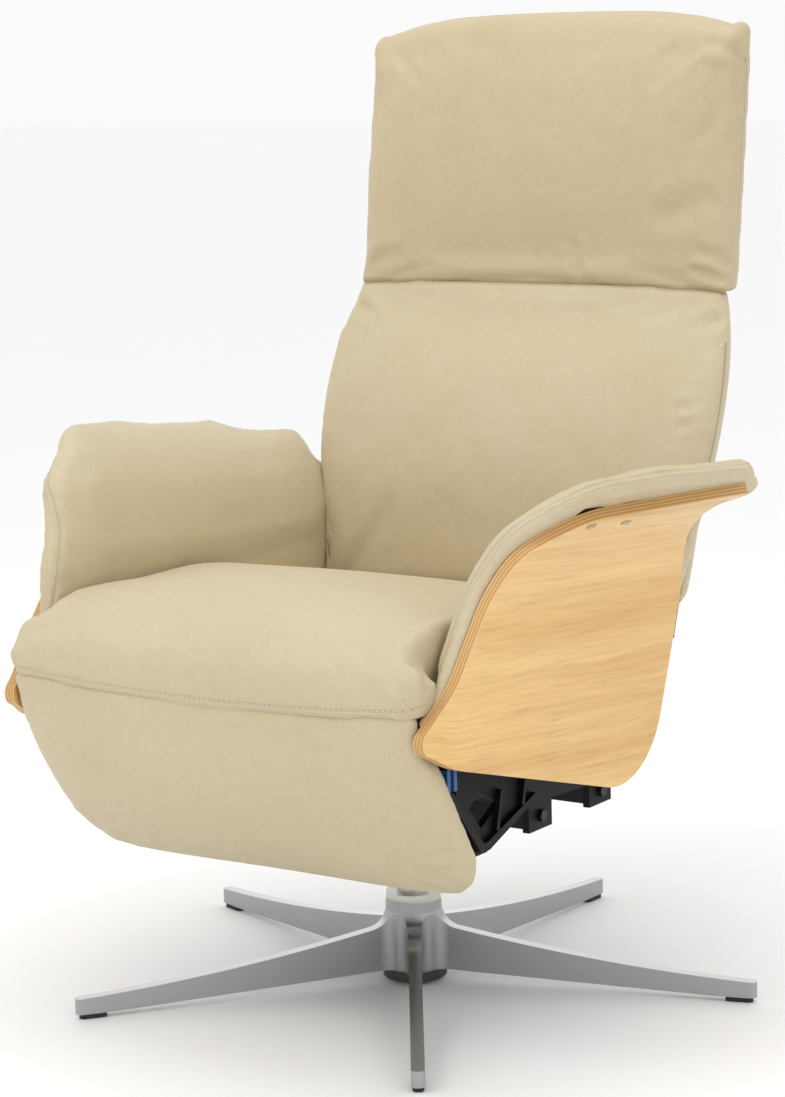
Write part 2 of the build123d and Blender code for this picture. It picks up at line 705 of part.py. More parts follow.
# Back frame: two rails, cross tubes, pivot ears, headrest ears and the drive lever
head_pivot = (head_y + head_pivot_back, head_z)
lever_angle = math.radians(recline_half_angle)
back_pin = (
    back_pivot_y + back_lever_length * math.sin(lever_angle),
    back_pivot_z - back_lever_length * math.cos(lever_angle),
)
with BuildPart() as back_frame:
    for x in (-back_rail_x, back_rail_x):
        with BuildSketch(back_side(x)):
            with Locations((back_rear + back_rail / 2, (back_rail_low + back_rail_high) / 2)):
                Rectangle(back_rail, back_rail_high - back_rail_low)
        extrude(amount=back_rail / 2, both=True)
    for up in (20, back_rail_high - back_rail / 2):
        with BuildSketch(back_side(0)):
            with Locations((back_rear + back_rail / 2, up)):
                Rectangle(back_rail, back_rail)
        extrude(amount=back_rail_x, both=True)
    for x in (rail_face + ear_wall + 2, -rail_face - 2 * ear_wall - 2):
        with BuildSketch(Plane.YZ.offset(x)):
            with Locations((back_pivot_y, back_pivot_z)):
                Circle(ear_radius)
            low = back_point(0, back_rear + back_rail, back_rail_low)
            high = back_point(0, back_rear, back_rail_low + 3)
            with BuildLine():
                Polyline(
                    (back_pivot_y + 3, back_pivot_z - 11), (low[1], low[2]), (high[1], high[2]),
                    (back_pivot_y - 3, back_pivot_z + 11), close=True,
                )
            make_face()
            with Locations((back_pivot_y, back_pivot_z)):
                Circle(pivot_radius + run_gap, mode=Mode.SUBTRACT)
        extrude(amount=ear_wall)
    for x in (head_ear_x - ear_wall / 2, -head_ear_x - ear_wall / 2):
        with BuildSketch(Plane.YZ.offset(x)):
            with Locations(head_pivot):
                Circle(8)
            near = back_point(0, back_rear, back_rail_high - 16)
            far = back_point(0, back_rear + back_rail, back_rail_high)
            with BuildLine():
                Polyline(
                    (head_pivot[0] - 6, head_pivot[1] - 6), (near[1], near[2]), (far[1], far[2]),
                    (head_pivot[0] + 6, head_pivot[1] + 6), close=True,
                )
            make_face()
            with Locations(head_pivot):
                Circle(head_pin_radius + run_gap, mode=Mode.SUBTRACT)
        extrude(amount=ear_wall)
    with BuildSketch(Plane.YZ.offset(drive_x - lever_wall / 2)):
        with Locations(back_pin):
            Circle(10)
        top = back_point(0, back_rear, 26)
        end = back_point(0, back_rear + back_rail - 12, 26)
        with BuildLine():
            Polyline((back_pin[0] - 10, back_pin[1]), (back_pin[0] + 10, back_pin[1]),
                     (end[1], end[2]), (top[1], top[2]), close=True)
        make_face()
    extrude(amount=lever_wall)
    with BuildSketch(Plane.YZ.offset(drive_x - lever_wall / 2)):
        with Locations(back_pin):
            Circle(pin_radius)
    extrude(amount=-yoke_wall - 8)

with BuildPart() as back_pins:
    for way in (1, -1):
        start = way * (rail_face - 1)
        with BuildSketch(Plane(origin=(start, back_pivot_y, back_pivot_z), x_dir=(0, 1, 0), z_dir=(way, 0, 0))):
            Circle(pivot_radius)
        extrude(amount=2 * ear_wall + 5)
        cap = way * (rail_face + 2 * ear_wall + 2.5)
        with BuildSketch(Plane(origin=(cap, back_pivot_y, back_pivot_z), x_dir=(0, 1, 0), z_dir=(way, 0, 0))):
            Circle(pivot_radius + 4)
        extrude(amount=4)


def head_profile(x, high, front, crown, rear):
    """Section of the headrest along the chair: crowned front, rolled top, flat rear."""
    with BuildSketch(head_side(x)) as profile:
        with BuildLine():
            Line((-front, 4), (rear, 3))
            Line((rear, 3), (rear, high - 42))
            ThreePointArc((rear, high - 42), (rear - 9.5, high - 15.5), (2, high))
            ThreePointArc((2, high), (-front - 8, high - 12), (-front - 12, high - 44))
            ThreePointArc((-front - 12, high - 44), (-crown, high * 0.4), (-front, 4))
        make_face()
    return profile.sketch


head_rear = 33.5
head_cavity_low = -12
head_cavity_high = head_height - 72
with BuildPart() as headrest_cushion:
    loft([
        head_profile(-head_half, head_height - 26, 8, 18, head_rear),
        head_profile(-head_half * 0.8, head_height - 12, 11, 27, head_rear),
        head_profile(0, head_height, 13, 34, head_rear),
        head_profile(head_half * 0.8, head_height - 12, 11, 27, head_rear),
        head_profile(head_half, head_height - 26, 8, 18, head_rear),
    ])
    for x in (-head_ear_x - 5, head_ear_x + 5):
        with BuildSketch(head_side(x)):
            with Locations((-4, -20)):
                Rectangle(head_rear + 10, 74, align=(Align.MIN, Align.MIN))
        extrude(amount=12, both=True, mode=Mode.SUBTRACT)

with BuildPart() as headrest_shell:
    head_mid = head_height / 2 - 12
    rear_face = Plane(
        origin=(0, head_y + (head_rear + soft_gap) * head_c + head_mid * head_s,
                head_z - (head_rear + soft_gap) * head_s + head_mid * head_c),
        x_dir=(-1, 0, 0), z_dir=(0, head_c, -head_s))
    with BuildSketch(rear_face):
        RectangleRounded(2 * head_half - 30, head_height - 46, 45)
    extrude(amount=head_shell_depth, taper=20)
    fillet(headrest_shell.faces().sort_by(Axis(rear_face.origin, rear_face.z_dir))[-1].edges(), 18)
    with BuildSketch(rear_face):
        with Locations((0, (head_cavity_low + head_cavity_high) / 2 - head_mid)):
            Rectangle(2 * head_ear_x + 60, head_cavity_high - head_cavity_low)
    extrude(amount=12, mode=Mode.SUBTRACT)

# Headrest plate with two lugs on the hinge line
head_plate = 6
head_plate_low = 20
head_plate_high = head_cavity_high - 26
with BuildPart() as headrest_frame:
    with BuildSketch(head_side(0)):
        with Locations((head_rear + soft_gap + head_plate / 2, (head_plate_low + head_plate_high) / 2)):
            Rectangle(head_plate, head_plate_high - head_plate_low)
    extrude(amount=head_ear_x + 20, both=True)
    for x in (head_ear_x + ear_wall / 2 + 1.5, -head_ear_x - 1.5 * ear_wall - 1.5):
        with BuildSketch(head_side(x)):
            with Locations((head_pivot_back * head_c, head_pivot_back * head_s)):
                Circle(8)
            with BuildLine():
                Polyline((0, -6), (head_pivot_back, -8), (head_rear + soft_gap + head_plate, 20),
                         (head_rear + soft_gap + head_plate, 46), (head_rear + soft_gap, 46), (-2, 6),
                         close=True)
            make_face()
            with Locations((head_pivot_back * head_c, head_pivot_back * head_s)):
                Circle(head_pin_radius, mode=Mode.SUBTRACT)
        extrude(amount=ear_wall)

with BuildPart() as headrest_pins:
    for way in (1, -1):
        start = way * (head_ear_x - ear_wall / 2 - 4)
        with BuildSketch(Plane(origin=(start, head_pivot[0], head_pivot[1]), x_dir=(0, 1, 0), z_dir=(way, 0, 0))):
            Circle(head_pin_radius)
        extrude(amount=2 * ear_wall + 5.5)

# Footrest tube with weld tabs and the drive lever
foot_lever = math.radians(foot_half_angle - foot_slope)
foot_pin_front = -foot_lever_length * math.sin(foot_lever)
foot_pin_down = -foot_lever_length * math.cos(foot_lever)
foot_tube_half = foot_eye_x - 2
tab_xs = (-150, 0, 150)
with BuildPart() as footrest_tube:
    with BuildSketch(foot_side(-foot_tube_half)):
        Circle(foot_tube_radius)
        Circle(foot_pin_radius + run_gap, mode=Mode.SUBTRACT)
    extrude(amount=-2 * foot_tube_half)
    for x in tab_xs:
        with BuildSketch(foot_side(x)):
            with BuildLine():
                Polyline((-foot_board - 4, 4), (-9, 6), (-9, -9), (-foot_board, -9),
                         (-foot_board, -72), (-foot_board - 4, -72), close=True)
            make_face()
        extrude(amount=20, both=True)
    with BuildSketch(foot_side(-drive_x)):
        with BuildLine():
            Polyline((3, -9), (foot_pin_front + 7, foot_pin_down), (foot_pin_front - 8, foot_pin_down), (-9, 0),
                     close=True)
        make_face()
        with Locations((foot_pin_front, foot_pin_down)):
            Circle(8)
    extrude(amount=lever_wall / 2, both=True)
    with BuildSketch(foot_side(-drive_x)):
        with Locations((foot_pin_front, foot_pin_down)):
            Circle(pin_radius)
    extrude(amount=-lever_wall / 2 - yoke_wall - 8)
    with BuildSketch(foot_side(-foot_tube_half)):
        Circle(foot_pin_radius + run_gap)
    extrude(amount=-2 * foot_tube_half, mode=Mode.SUBTRACT)

with BuildPart() as footrest_pins:
    for way in (1, -1):
        start = way * (foot_eye_x - 32)
        with BuildSketch(Plane(origin=(start, foot_pivot_y, foot_pivot_z), x_dir=(0, 1, 0), z_dir=(way, 0, 0))):
            Circle(foot_pin_radius)
        extrude(amount=32 + ear_wall)

foot_front = Plane(origin=(0, foot_pivot_y, foot_pivot_z), x_dir=(1, 0, 0), z_dir=(0, -foot_c, -foot_s))
window_x = -drive_x + lever_wall
with BuildPart() as footrest_board:
    with BuildSketch(foot_front):
        with Locations((0, -foot_length / 2 - 6)):
            RectangleRounded(2 * foot_half - 50, foot_length - 20, 30)
        with Locations((window_x, -54)):
            RectangleRounded(46, 104, 6, mode=Mode.SUBTRACT)
        with Locations((foot_eye_x + ear_wall / 2, -20), (-foot_eye_x - ear_wall / 2, -20)):
            Rectangle(ear_wall + 8, 70, mode=Mode.SUBTRACT)
        for x in tab_xs:
            with Locations((x - 12, -50), (x + 12, -50)):
                Circle(2, mode=Mode.SUBTRACT)
    extrude(amount=-foot_board)

with BuildPart() as footrest_screws:
    for x in tab_xs:
        with BuildSketch(foot_front.offset(-foot_board)):
            with Locations((x - 12, -50), (x + 12, -50)):
                Circle(2)
        extrude(amount=foot_board - 2)
        with BuildSketch(foot_front.offset(-foot_board - 4)):
            with Locations((x - 12, -50), (x + 12, -50)):
                Circle(2)
        extrude(amount=4)
        with BuildSketch(foot_front.offset(-foot_board - 6.5)):
            with Locations((x - 12, -50), (x + 12, -50)):
                Circle(4)
        extrude(amount=2.5)
footrest_tube.part = footrest_tube.part - footrest_screws.part


def foot_profile(x, crown, toe):
    """Section of the footrest cushion: a roll round the hinge line, a crown and a thin toe."""
    with BuildSketch(foot_side(x)) as profile:
        with BuildLine():
            Line((soft_gap, 0), (soft_gap, -foot_length))
            ThreePointArc((soft_gap, -foot_length), (toe * 0.7, -foot_length + 6), (toe, -foot_length + 22))
            ThreePointArc((toe, -foot_length + 22), (crown, -foot_length * 0.45), (foot_roll, 0))
            ThreePointArc((foot_roll, 0), (foot_roll * 0.7071, foot_roll * 0.7071), (soft_gap, foot_roll))
            Line((soft_gap, foot_roll), (soft_gap, 0))
        make_face()
    return profile.sketch


with BuildPart() as footrest_cushion:
    loft([
        foot_profile(foot_half, foot_roll + 2, 14),
        foot_profile(foot_half * 0.8, foot_crown - 3, 22),
        foot_profile(0, foot_crown, 24),
        foot_profile(-foot_half * 0.8, foot_crown - 3, 22),
        foot_profile(-foot_half, foot_roll + 2, 14),
    ])
    with BuildSketch(foot_front) as foot_outline:
        with Locations((0, foot_roll / 2 + 5 - foot_length / 2)):
            Rectangle(2 * foot_half, foot_length + foot_roll + 10)
        fillet(foot_outline.vertices().group_by(Axis.Z)[0], 66)
    extrude(amount=foot_crown + 20, mode=Mode.INTERSECT)
    with BuildSketch(foot_side(-foot_eye_x - 14)):
        Circle(foot_roll - 9)
    extrude(amount=-2 * foot_eye_x - 28, mode=Mode.SUBTRACT)
    with BuildSketch(foot_front):
        with Locations((window_x, -38)):
            Rectangle(46, 116)
    extrude(amount=14, mode=Mode.SUBTRACT)
    for x in (foot_eye_x - 2, -foot_eye_x - ear_wall - 2):
        with BuildSketch(foot_side(x + ear_wall + 4)):
            with Locations((0, foot_roll / 2)):
                Rectangle(12, foot_roll / 2 + 3, align=(Align.MIN, Align.MIN))
        extrude(amount=ear_wall + 4, mode=Mode.SUBTRACT)


# Rods with slotted yokes round the lever pins
def pin_span(length, half_angle):
    """Lowest and highest level of a lever pin below its pivot."""
    return -length, -length * math.cos(math.radians(half_angle))


foot_low, foot_high = pin_span(foot_lever_length, foot_half_angle)
back_low, back_high = pin_span(back_lever_length, recline_half_angle)
foot_rod_z = foot_pivot_z + (foot_low + foot_high) / 2
back_rod_z = back_pivot_z + (back_low + back_high) / 2
foot_rod_y = foot_pivot_y + foot_rate * math.radians(foot_half_angle)
yoke_x = drive_x - lever_wall / 2 - 2 - yoke_wall / 2
foot_yoke_half = pin_radius + foot_slot_gap + 6
back_yoke_half = pin_radius + back_slot_gap + 6
foot_slot_high = foot_high - foot_low + 2 * pin_radius + 4
back_slot_high = back_high - back_low + 2 * pin_radius + 4
foot_mouth_y = -236
back_mouth_y = 112
rod_length = 150

with BuildPart() as foot_rod:
    with BuildSketch(Plane.YZ.offset(-yoke_x - yoke_wall / 2)):
        with Locations((foot_rod_y, foot_rod_z)):
            Rectangle(2 * foot_yoke_half, foot_slot_high + 12)
            Rectangle(2 * (pin_radius + foot_slot_gap), foot_slot_high, mode=Mode.SUBTRACT)
    extrude(amount=yoke_wall)
    with BuildSketch(Plane(origin=(-yoke_x, foot_rod_y + foot_yoke_half, foot_rod_z),
                           x_dir=(1, 0, 0), z_dir=(0, 1, 0))):
        Circle(rod_radius)
    extrude(amount=rod_length + 40)

with BuildPart() as back_rod:
    with BuildSketch(Plane.YZ.offset(yoke_x - yoke_wall / 2)):
        with Locations((back_pin[0], back_rod_z)):
            Rectangle(2 * back_yoke_half, back_slot_high + 12)
            Rectangle(2 * (pin_radius + back_slot_gap), back_slot_high, mode=Mode.SUBTRACT)
    extrude(amount=yoke_wall)
    with BuildSketch(Plane(origin=(yoke_x, back_pin[0] - back_yoke_half, back_rod_z),
                           x_dir=(1, 0, 0), z_dir=(0, -1, 0))):
        Circle(rod_radius)
    extrude(amount=rod_length)


def drive_housing(x, mouth, way, level, hang_y, side):
    """Housing of a linear drive: guide tube, gear case, motor and a flange under a frame tube."""
    length = 190
    guide = Plane(origin=(x, mouth, level), x_dir=(1, 0, 0), z_dir=(0, way, 0))
    with BuildPart() as housing:
        with BuildSketch(guide):
            Circle(housing_radius)
        extrude(amount=length)
        with BuildSketch(guide.offset(length - 30)):
            with Locations((side * motor_offset / 2, 0)):
                RectangleRounded(motor_offset + 2 * motor_radius, 2 * motor_radius, 8)
        extrude(amount=50)
        with BuildSketch(guide.offset(length - 120)):
            with Locations((side * motor_offset, 0)):
                Circle(motor_radius)
        extrude(amount=95)
        with Locations((x, hang_y, (level + frame_level) / 2)):
            Box(16, tube - 6, frame_level - level)
        with Locations((x, hang_y, frame_level - 2.5)):
            Box(60, tube, 5)
        with BuildSketch(guide):
            Circle(rod_radius + run_gap)
        extrude(amount=length + 10, mode=Mode.SUBTRACT)
        with BuildSketch(Plane.XY.offset(frame_level - 6)):
            with Locations((x, hang_y)):
                with GridLocations(42, 1, 2, 1):
                    Circle(3)
        extrude(amount=6, mode=Mode.SUBTRACT)
    return housing


foot_drive = drive_housing(-yoke_x, foot_mouth_y, 1, foot_rod_z, middle_tube_y, -1)
back_drive = drive_housing(yoke_x, back_mouth_y, -1, back_rod_z, rear_tube_y, 1)

with BuildPart() as drive_bolts:
    for x, y in ((-yoke_x, middle_tube_y), (yoke_x, rear_tube_y)):
        with BuildSketch(Plane.XY.offset(frame_level - 9)):
            with Locations((x, y)):
                with GridLocations(42, 1, 2, 1):
                    Circle(5)
        extrude(amount=4)
        with BuildSketch(Plane.XY.offset(frame_level - 5)):
            with Locations((x, y)):
                with GridLocations(42, 1, 2, 1):
                    Circle(3)
        extrude(amount=12)
seat_frame.part = seat_frame.part - drive_bolts.part

# Control box under the seat board
with BuildPart() as control_box:
    with BuildSketch(Plane.XY.offset(frame_top - 38)):
        with Locations((92, -205)):
            RectangleRounded(130, 100, 8)
    extrude(amount=38)
    chamfer(control_box.edges().group_by(Axis.Z)[0], 3)

parts = {
    "star_base": star_base, "foot_glides": foot_glides, "hub_bushes": hub_bushes, "hub_cap": hub_cap,
    "thrust_washer": thrust_washer, "swivel_spindle": swivel_spindle, "spindle_washer": spindle_washer,
    "spindle_bolt": spindle_bolt, "cross_members": cross_members, "plate_bolts": plate_bolts,
    "side_bracket_left": side_bracket_left, "side_bracket_right": side_bracket_right,
    "bracket_bolts": bracket_bolts, "rail_clips": rail_clips, "seat_frame": seat_frame,
    "arm_screws": arm_screws, "seat_platform": seat_platform, "seat_cushion": seat_cushion,
    "arm_shell_left": arm_shell_left, "arm_shell_right": arm_shell_right,
    "arm_pad_left": arm_pad_left, "arm_pad_right": arm_pad_right, "foot_button": foot_button,
    "back_button": back_button, "switch_bodies": switch_bodies, "back_cushion": back_cushion,
    "back_shell": back_shell, "back_frame": back_frame, "back_pins": back_pins,
    "headrest_cushion": headrest_cushion, "headrest_shell": headrest_shell,
    "headrest_frame": headrest_frame, "headrest_pins": headrest_pins, "footrest_tube": footrest_tube,
    "footrest_pins": footrest_pins, "footrest_board": footrest_board,
    "footrest_screws": footrest_screws, "footrest_cushion": footrest_cushion, "foot_rod": foot_rod,
    "back_rod": back_rod, "foot_drive": foot_drive, "back_drive": back_drive,
    "drive_bolts": drive_bolts, "control_box": control_box,
}
os.makedirs("parts", exist_ok=True)
for label, item in parts.items():
    item.part.label = label
    export_step(item.part, "parts/" + label + ".step")
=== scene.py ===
import json
import math
import bpy
import bmesh
import numpy as np
from mathutils import Matrix, Vector


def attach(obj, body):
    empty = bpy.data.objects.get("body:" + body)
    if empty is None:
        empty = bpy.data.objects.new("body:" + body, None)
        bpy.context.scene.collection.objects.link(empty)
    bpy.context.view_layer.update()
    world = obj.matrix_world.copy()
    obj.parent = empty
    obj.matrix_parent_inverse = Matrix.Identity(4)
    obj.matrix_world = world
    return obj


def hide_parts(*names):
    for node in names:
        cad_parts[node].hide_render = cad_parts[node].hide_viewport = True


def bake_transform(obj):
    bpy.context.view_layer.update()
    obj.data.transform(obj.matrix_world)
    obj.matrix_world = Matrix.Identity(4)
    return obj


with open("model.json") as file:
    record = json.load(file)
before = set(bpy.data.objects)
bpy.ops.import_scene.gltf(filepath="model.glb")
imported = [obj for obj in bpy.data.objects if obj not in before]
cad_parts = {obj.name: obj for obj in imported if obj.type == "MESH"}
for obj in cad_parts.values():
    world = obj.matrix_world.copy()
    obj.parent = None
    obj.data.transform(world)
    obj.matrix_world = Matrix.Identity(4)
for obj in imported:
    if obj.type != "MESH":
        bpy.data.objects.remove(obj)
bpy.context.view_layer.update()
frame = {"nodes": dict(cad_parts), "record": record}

scene = bpy.context.scene
nodes = frame["nodes"]


class Val:
    # a socket that takes part in Python sums
    def __init__(self, mat, sock):
        self.mat = mat
        self.sock = sock

    def sum(self, kind, first, second=None):
        return self.mat.make("ShaderNodeMath", {"operation": kind}, {0: first, 1: second})

    def __add__(self, other): return self.sum("ADD", self, other)
    def __radd__(self, other): return self.sum("ADD", other, self)
    def __sub__(self, other): return self.sum("SUBTRACT", self, other)
    def __rsub__(self, other): return self.sum("SUBTRACT", other, self)
    def __mul__(self, other): return self.sum("MULTIPLY", self, other)
    def __rmul__(self, other): return self.sum("MULTIPLY", other, self)
    def __truediv__(self, other): return self.sum("DIVIDE", self, other)
    def __abs__(self): return self.sum("ABSOLUTE", self)
    def over(self, other): return self.sum("GREATER_THAN", self, other)
    def under(self, other): return self.sum("LESS_THAN", self, other)
    def least(self, other): return self.sum("MINIMUM", self, other)
    def most(self, other): return self.sum("MAXIMUM", self, other)
    def angle(self, other): return self.sum("ARCTAN2", self, other)
    def part(self): return self.sum("FRACT", self)
    def whole(self): return self.sum("FLOOR", self)
    def root(self): return self.sum("SQRT", self)

    def ease(self, low, high):
        return self.mat.make("ShaderNodeMapRange", {"interpolation_type": "SMOOTHSTEP"},
                             {"Value": self, "From Min": low, "From Max": high})


class Finish:
    # a material whose nodes are made by sums on its object coordinates
    def __init__(self, name, **fixed):
        self.material = bpy.data.materials.new(name)
        self.material.use_nodes = True
        self.tree = self.material.node_tree
        self.surface = self.tree.nodes["Principled BSDF"]
        for key, value in fixed.items():
            self.surface.inputs[key.replace("_", " ")].default_value = value
        self.coords = self.make("ShaderNodeTexCoord", {}, {}, "Object")
        self.x, self.y, self.z = self.split(self.coords)

    def make(self, kind, settings, sockets, out=0):
        node = self.tree.nodes.new(kind)
        for key, value in settings.items():
            setattr(node, key, value)
        for key, value in sockets.items():
            if isinstance(value, Val):
                self.tree.links.new(value.sock, node.inputs[key])
            elif value is not None:
                node.inputs[key].default_value = value
        return Val(self, node.outputs[out])

    def feed(self, **sockets):
        for key, value in sockets.items():
            self.tree.links.new(value.sock, self.surface.inputs[key.replace("_", " ")])

    def split(self, vector):
        return [self.make("ShaderNodeSeparateXYZ", {}, {0: vector}, k) for k in "XYZ"]

    def vector(self, x, y, z):
        return self.make("ShaderNodeCombineXYZ", {}, {0: x, 1: y, 2: z})

    def noise(self, where, scale, detail=3.0, rough=0.55):
        return self.make("ShaderNodeTexNoise", {}, {"Vector": where, "Scale": scale, "Detail": detail,
                                                    "Roughness": rough})

    def mix(self, amount, first, second):
        first, second = ((*c, 1.0) if isinstance(c, tuple) else c for c in (first, second))
        return self.make("ShaderNodeMix", {"data_type": "RGBA"}, {0: amount, 6: first, 7: second}, 2)

    def bump(self, height, depth, under=None):
        return self.make("ShaderNodeBump", {}, {"Height": height, "Distance": depth, "Strength": 1.0,
                                                "Normal": under}, "Normal")


# camera, lights and floor

view = {"place": (1.84901, -2.74128, 1.02787), "lens": 101.118, "sensor": 36.0,
        "right": (0.828943, 0.558730, -0.025967),
        "up": (-0.069550, 0.149029, 0.986384),
        "back": (0.554992, -0.815850, 0.162396)}
camData = bpy.data.cameras.new("photoCamera")
camData.lens = view["lens"]
camData.sensor_width = view["sensor"]
camera = bpy.data.objects.new("photoCamera", camData)
turned = Matrix((view["right"], view["up"], view["back"])).transposed().to_4x4()
camera.matrix_world = Matrix.Translation(view["place"]) @ turned
scene.collection.objects.link(camera)
scene.camera = camera

# each light has a place, its two sides and its power in watts
studio = {"sky": 0.96, "paper": 0.985, "mottle": 0.985, "half": 30.0, "drop": 0.0005, "aim": (0, 0, 0.5),
          "lights": {"keySoftbox": ((-1.2, -2.2, 2.7), (1.2, 1.2), 14),
                     "fillSoftbox": ((2.9, -1.2, 1.7), (1.6, 2.0), 5),
                     "topSoftbox": ((0.1, 0.0, 3.0), (1.5, 1.5), 15)}}
for name, (place, sides, power) in studio["lights"].items():
    lampData = bpy.data.lights.new(name, "AREA")
    lampData.shape = "RECTANGLE"
    lampData.size, lampData.size_y = sides
    lampData.energy = power
    lamp = bpy.data.objects.new(name, lampData)
    way = Vector(studio["aim"]) - Vector(place)
    lamp.matrix_world = Matrix.Translation(place) @ way.to_track_quat("-Z", "Y").to_matrix().to_4x4()
    scene.collection.objects.link(lamp)

world = bpy.data.worlds.new("studioSky")
scene.world = world
world.use_nodes = True
sky = world.node_tree.nodes["Background"].inputs
sky["Color"].default_value = (1.0, 1.0, 1.0, 1.0)
sky["Strength"].default_value = studio["sky"]

bm = bmesh.new()
bmesh.ops.create_grid(bm, x_segments=2, y_segments=2, size=studio["half"])
bmesh.ops.translate(bm, verts=bm.verts, vec=(0, 0, -studio["drop"]))
floorMesh = bpy.data.meshes.new("studioFloor")
bm.to_mesh(floorMesh)
bm.free()
floor = bpy.data.objects.new("studioFloor", floorMesh)
scene.collection.objects.link(floor)
paper = Finish("palePaper", Roughness=0.6)
paper.feed(Base_Color=paper.mix(paper.noise(paper.coords, 3.0), (studio["paper"] * studio["mottle"],) * 3,
                                (studio["paper"],) * 3))
floorMesh.materials.append(paper.material)
scene.view_settings.view_transform = "Standard"
print("stage ready")


# lines that the pieces are measured from: the arm's bend, and the hinge and lean of back, headrest and footrest

armLine = {"x": 0.3935, "y": -0.097, "z": 0.454, "tilt": math.radians(5), "face": 0.120, "wall": 0.012,
           "middle": 0.126}
armCos, armSin = math.cos(armLine["tilt"]), math.sin(armLine["tilt"])
backLine = {"y": 0.178, "z": 0.405, "lean": math.radians(19.9)}
headLine = {"y": 0.300, "z": 0.742, "lean": math.radians(7.9)}
footLine = {"y": -0.332, "z": 0.360, "lean": math.radians(-31)}


def armFlat(y, z):
    # along the arm and up from its bend, for sockets and arrays alike
    dy, dz = y - armLine["y"], z - armLine["z"]
    return dy * armCos - dz * armSin, dy * armSin + dz * armCos


def rearOf(line, y, z):
    return (y - line["y"]) * math.cos(line["lean"]) - (z - line["z"]) * math.sin(line["lean"])


def upOf(line, y, z):
    return (y - line["y"]) * math.sin(line["lean"]) + (z - line["z"]) * math.cos(line["lean"])


def leanSpot(line, x, rear, up):
    # millimetres on a leaning piece to a place in metres
    c, s = math.cos(line["lean"]), math.sin(line["lean"])
    return (x / 1000, line["y"] + (rear * c + up * s) / 1000, line["z"] + (up * c - rear * s) / 1000)


def backSpot(*at):
    return leanSpot(backLine, *at)


def headSpot(*at):
    return leanSpot(headLine, *at)


def footSpot(x, front, down):
    return leanSpot(footLine, x, -front, -down)


def seatSpot(x, y, z):
    return (x / 1000, y / 1000, z / 1000)


def armSpot(x, along, rise):
    return Vector((x, armLine["y"] + along * armCos + rise * armSin,
                   armLine["z"] - along * armSin + rise * armCos))


# finishes

oakTone = {"pale": (0.85, 0.565, 0.222), "deep": (0.63, 0.350, 0.100), "pore": (0.34, 0.165, 0.05),
           "edge": (0.36, 0.165, 0.050), "edgePale": (0.74, 0.44, 0.155)}
oakGrain = {"lean": 0.012, "plies": 7.0, "edgeFrom": 0.035, "edgeTo": 0.965, "depth": 0.00022}


def oakFinish():
    # veneer on the two faces, plies on the edges
    mat = Finish("bentOak", Coat_Roughness=0.28, Coat_Weight=0.25)
    sheet = mat.make("ShaderNodeAttribute", {"attribute_name": "sheet"}, {}, "Vector")
    along, across, through = mat.split(sheet)
    lean = across - along * oakGrain["lean"]
    drift = mat.noise(mat.vector(along * 1.6, lean * 7.0, 0.0), 1.0, 2.0)
    bands = mat.noise(mat.vector(along * 1.1, lean * 30.0 + drift * 2.2, 0.3), 1.0, 4.0, 0.6)
    fibre = mat.noise(mat.vector(along * 7.0, lean * 260.0, 0.7), 1.0, 4.0, 0.65)
    pores = mat.noise(mat.vector(along * 15.0, lean * 800.0, 0.1), 1.0, 2.0, 0.5)
    tone = (bands * 0.85 + fibre * 0.45 - 0.15).ease(0.26, 0.84)
    veneer = mat.mix(tone, oakTone["pale"], oakTone["deep"])
    veneer = mat.mix((pores - 0.58).ease(0.0, 0.12) * 0.34, veneer, oakTone["pore"])
    deep = (through - armLine["face"]) / armLine["wall"]
    layer = deep * oakGrain["plies"]
    odd = (layer.whole() * 0.5).part().over(0.25)
    line = abs(layer.part() - 0.5).ease(0.40, 0.5)
    ply = mat.mix(odd * 0.55 + line * 0.35, oakTone["edgePale"], oakTone["edge"])
    onEdge = deep.over(oakGrain["edgeFrom"]) * deep.under(oakGrain["edgeTo"])
    mat.feed(Base_Color=mat.mix(onEdge, veneer, ply),
             Roughness=0.36 + tone * 0.14 + onEdge * 0.15,
             Normal=mat.bump(fibre * 0.6 + pores * 0.6 + line * onEdge * 2.0, oakGrain["depth"]))
    return mat.material


leatherTone = {"pale": (0.620, 0.530, 0.355), "deep": (0.580, 0.485, 0.305), "seam": (0.27, 0.185, 0.085),
               "thread": (0.80, 0.72, 0.55)}
leatherGrain = {"cloud": 7.0, "mottle": 90.0, "cells": 620.0, "fine": 1500.0, "soft": 16.0,
                "depth": 0.00022, "seamDepth": 0.0014, "softDepth": 0.0035}


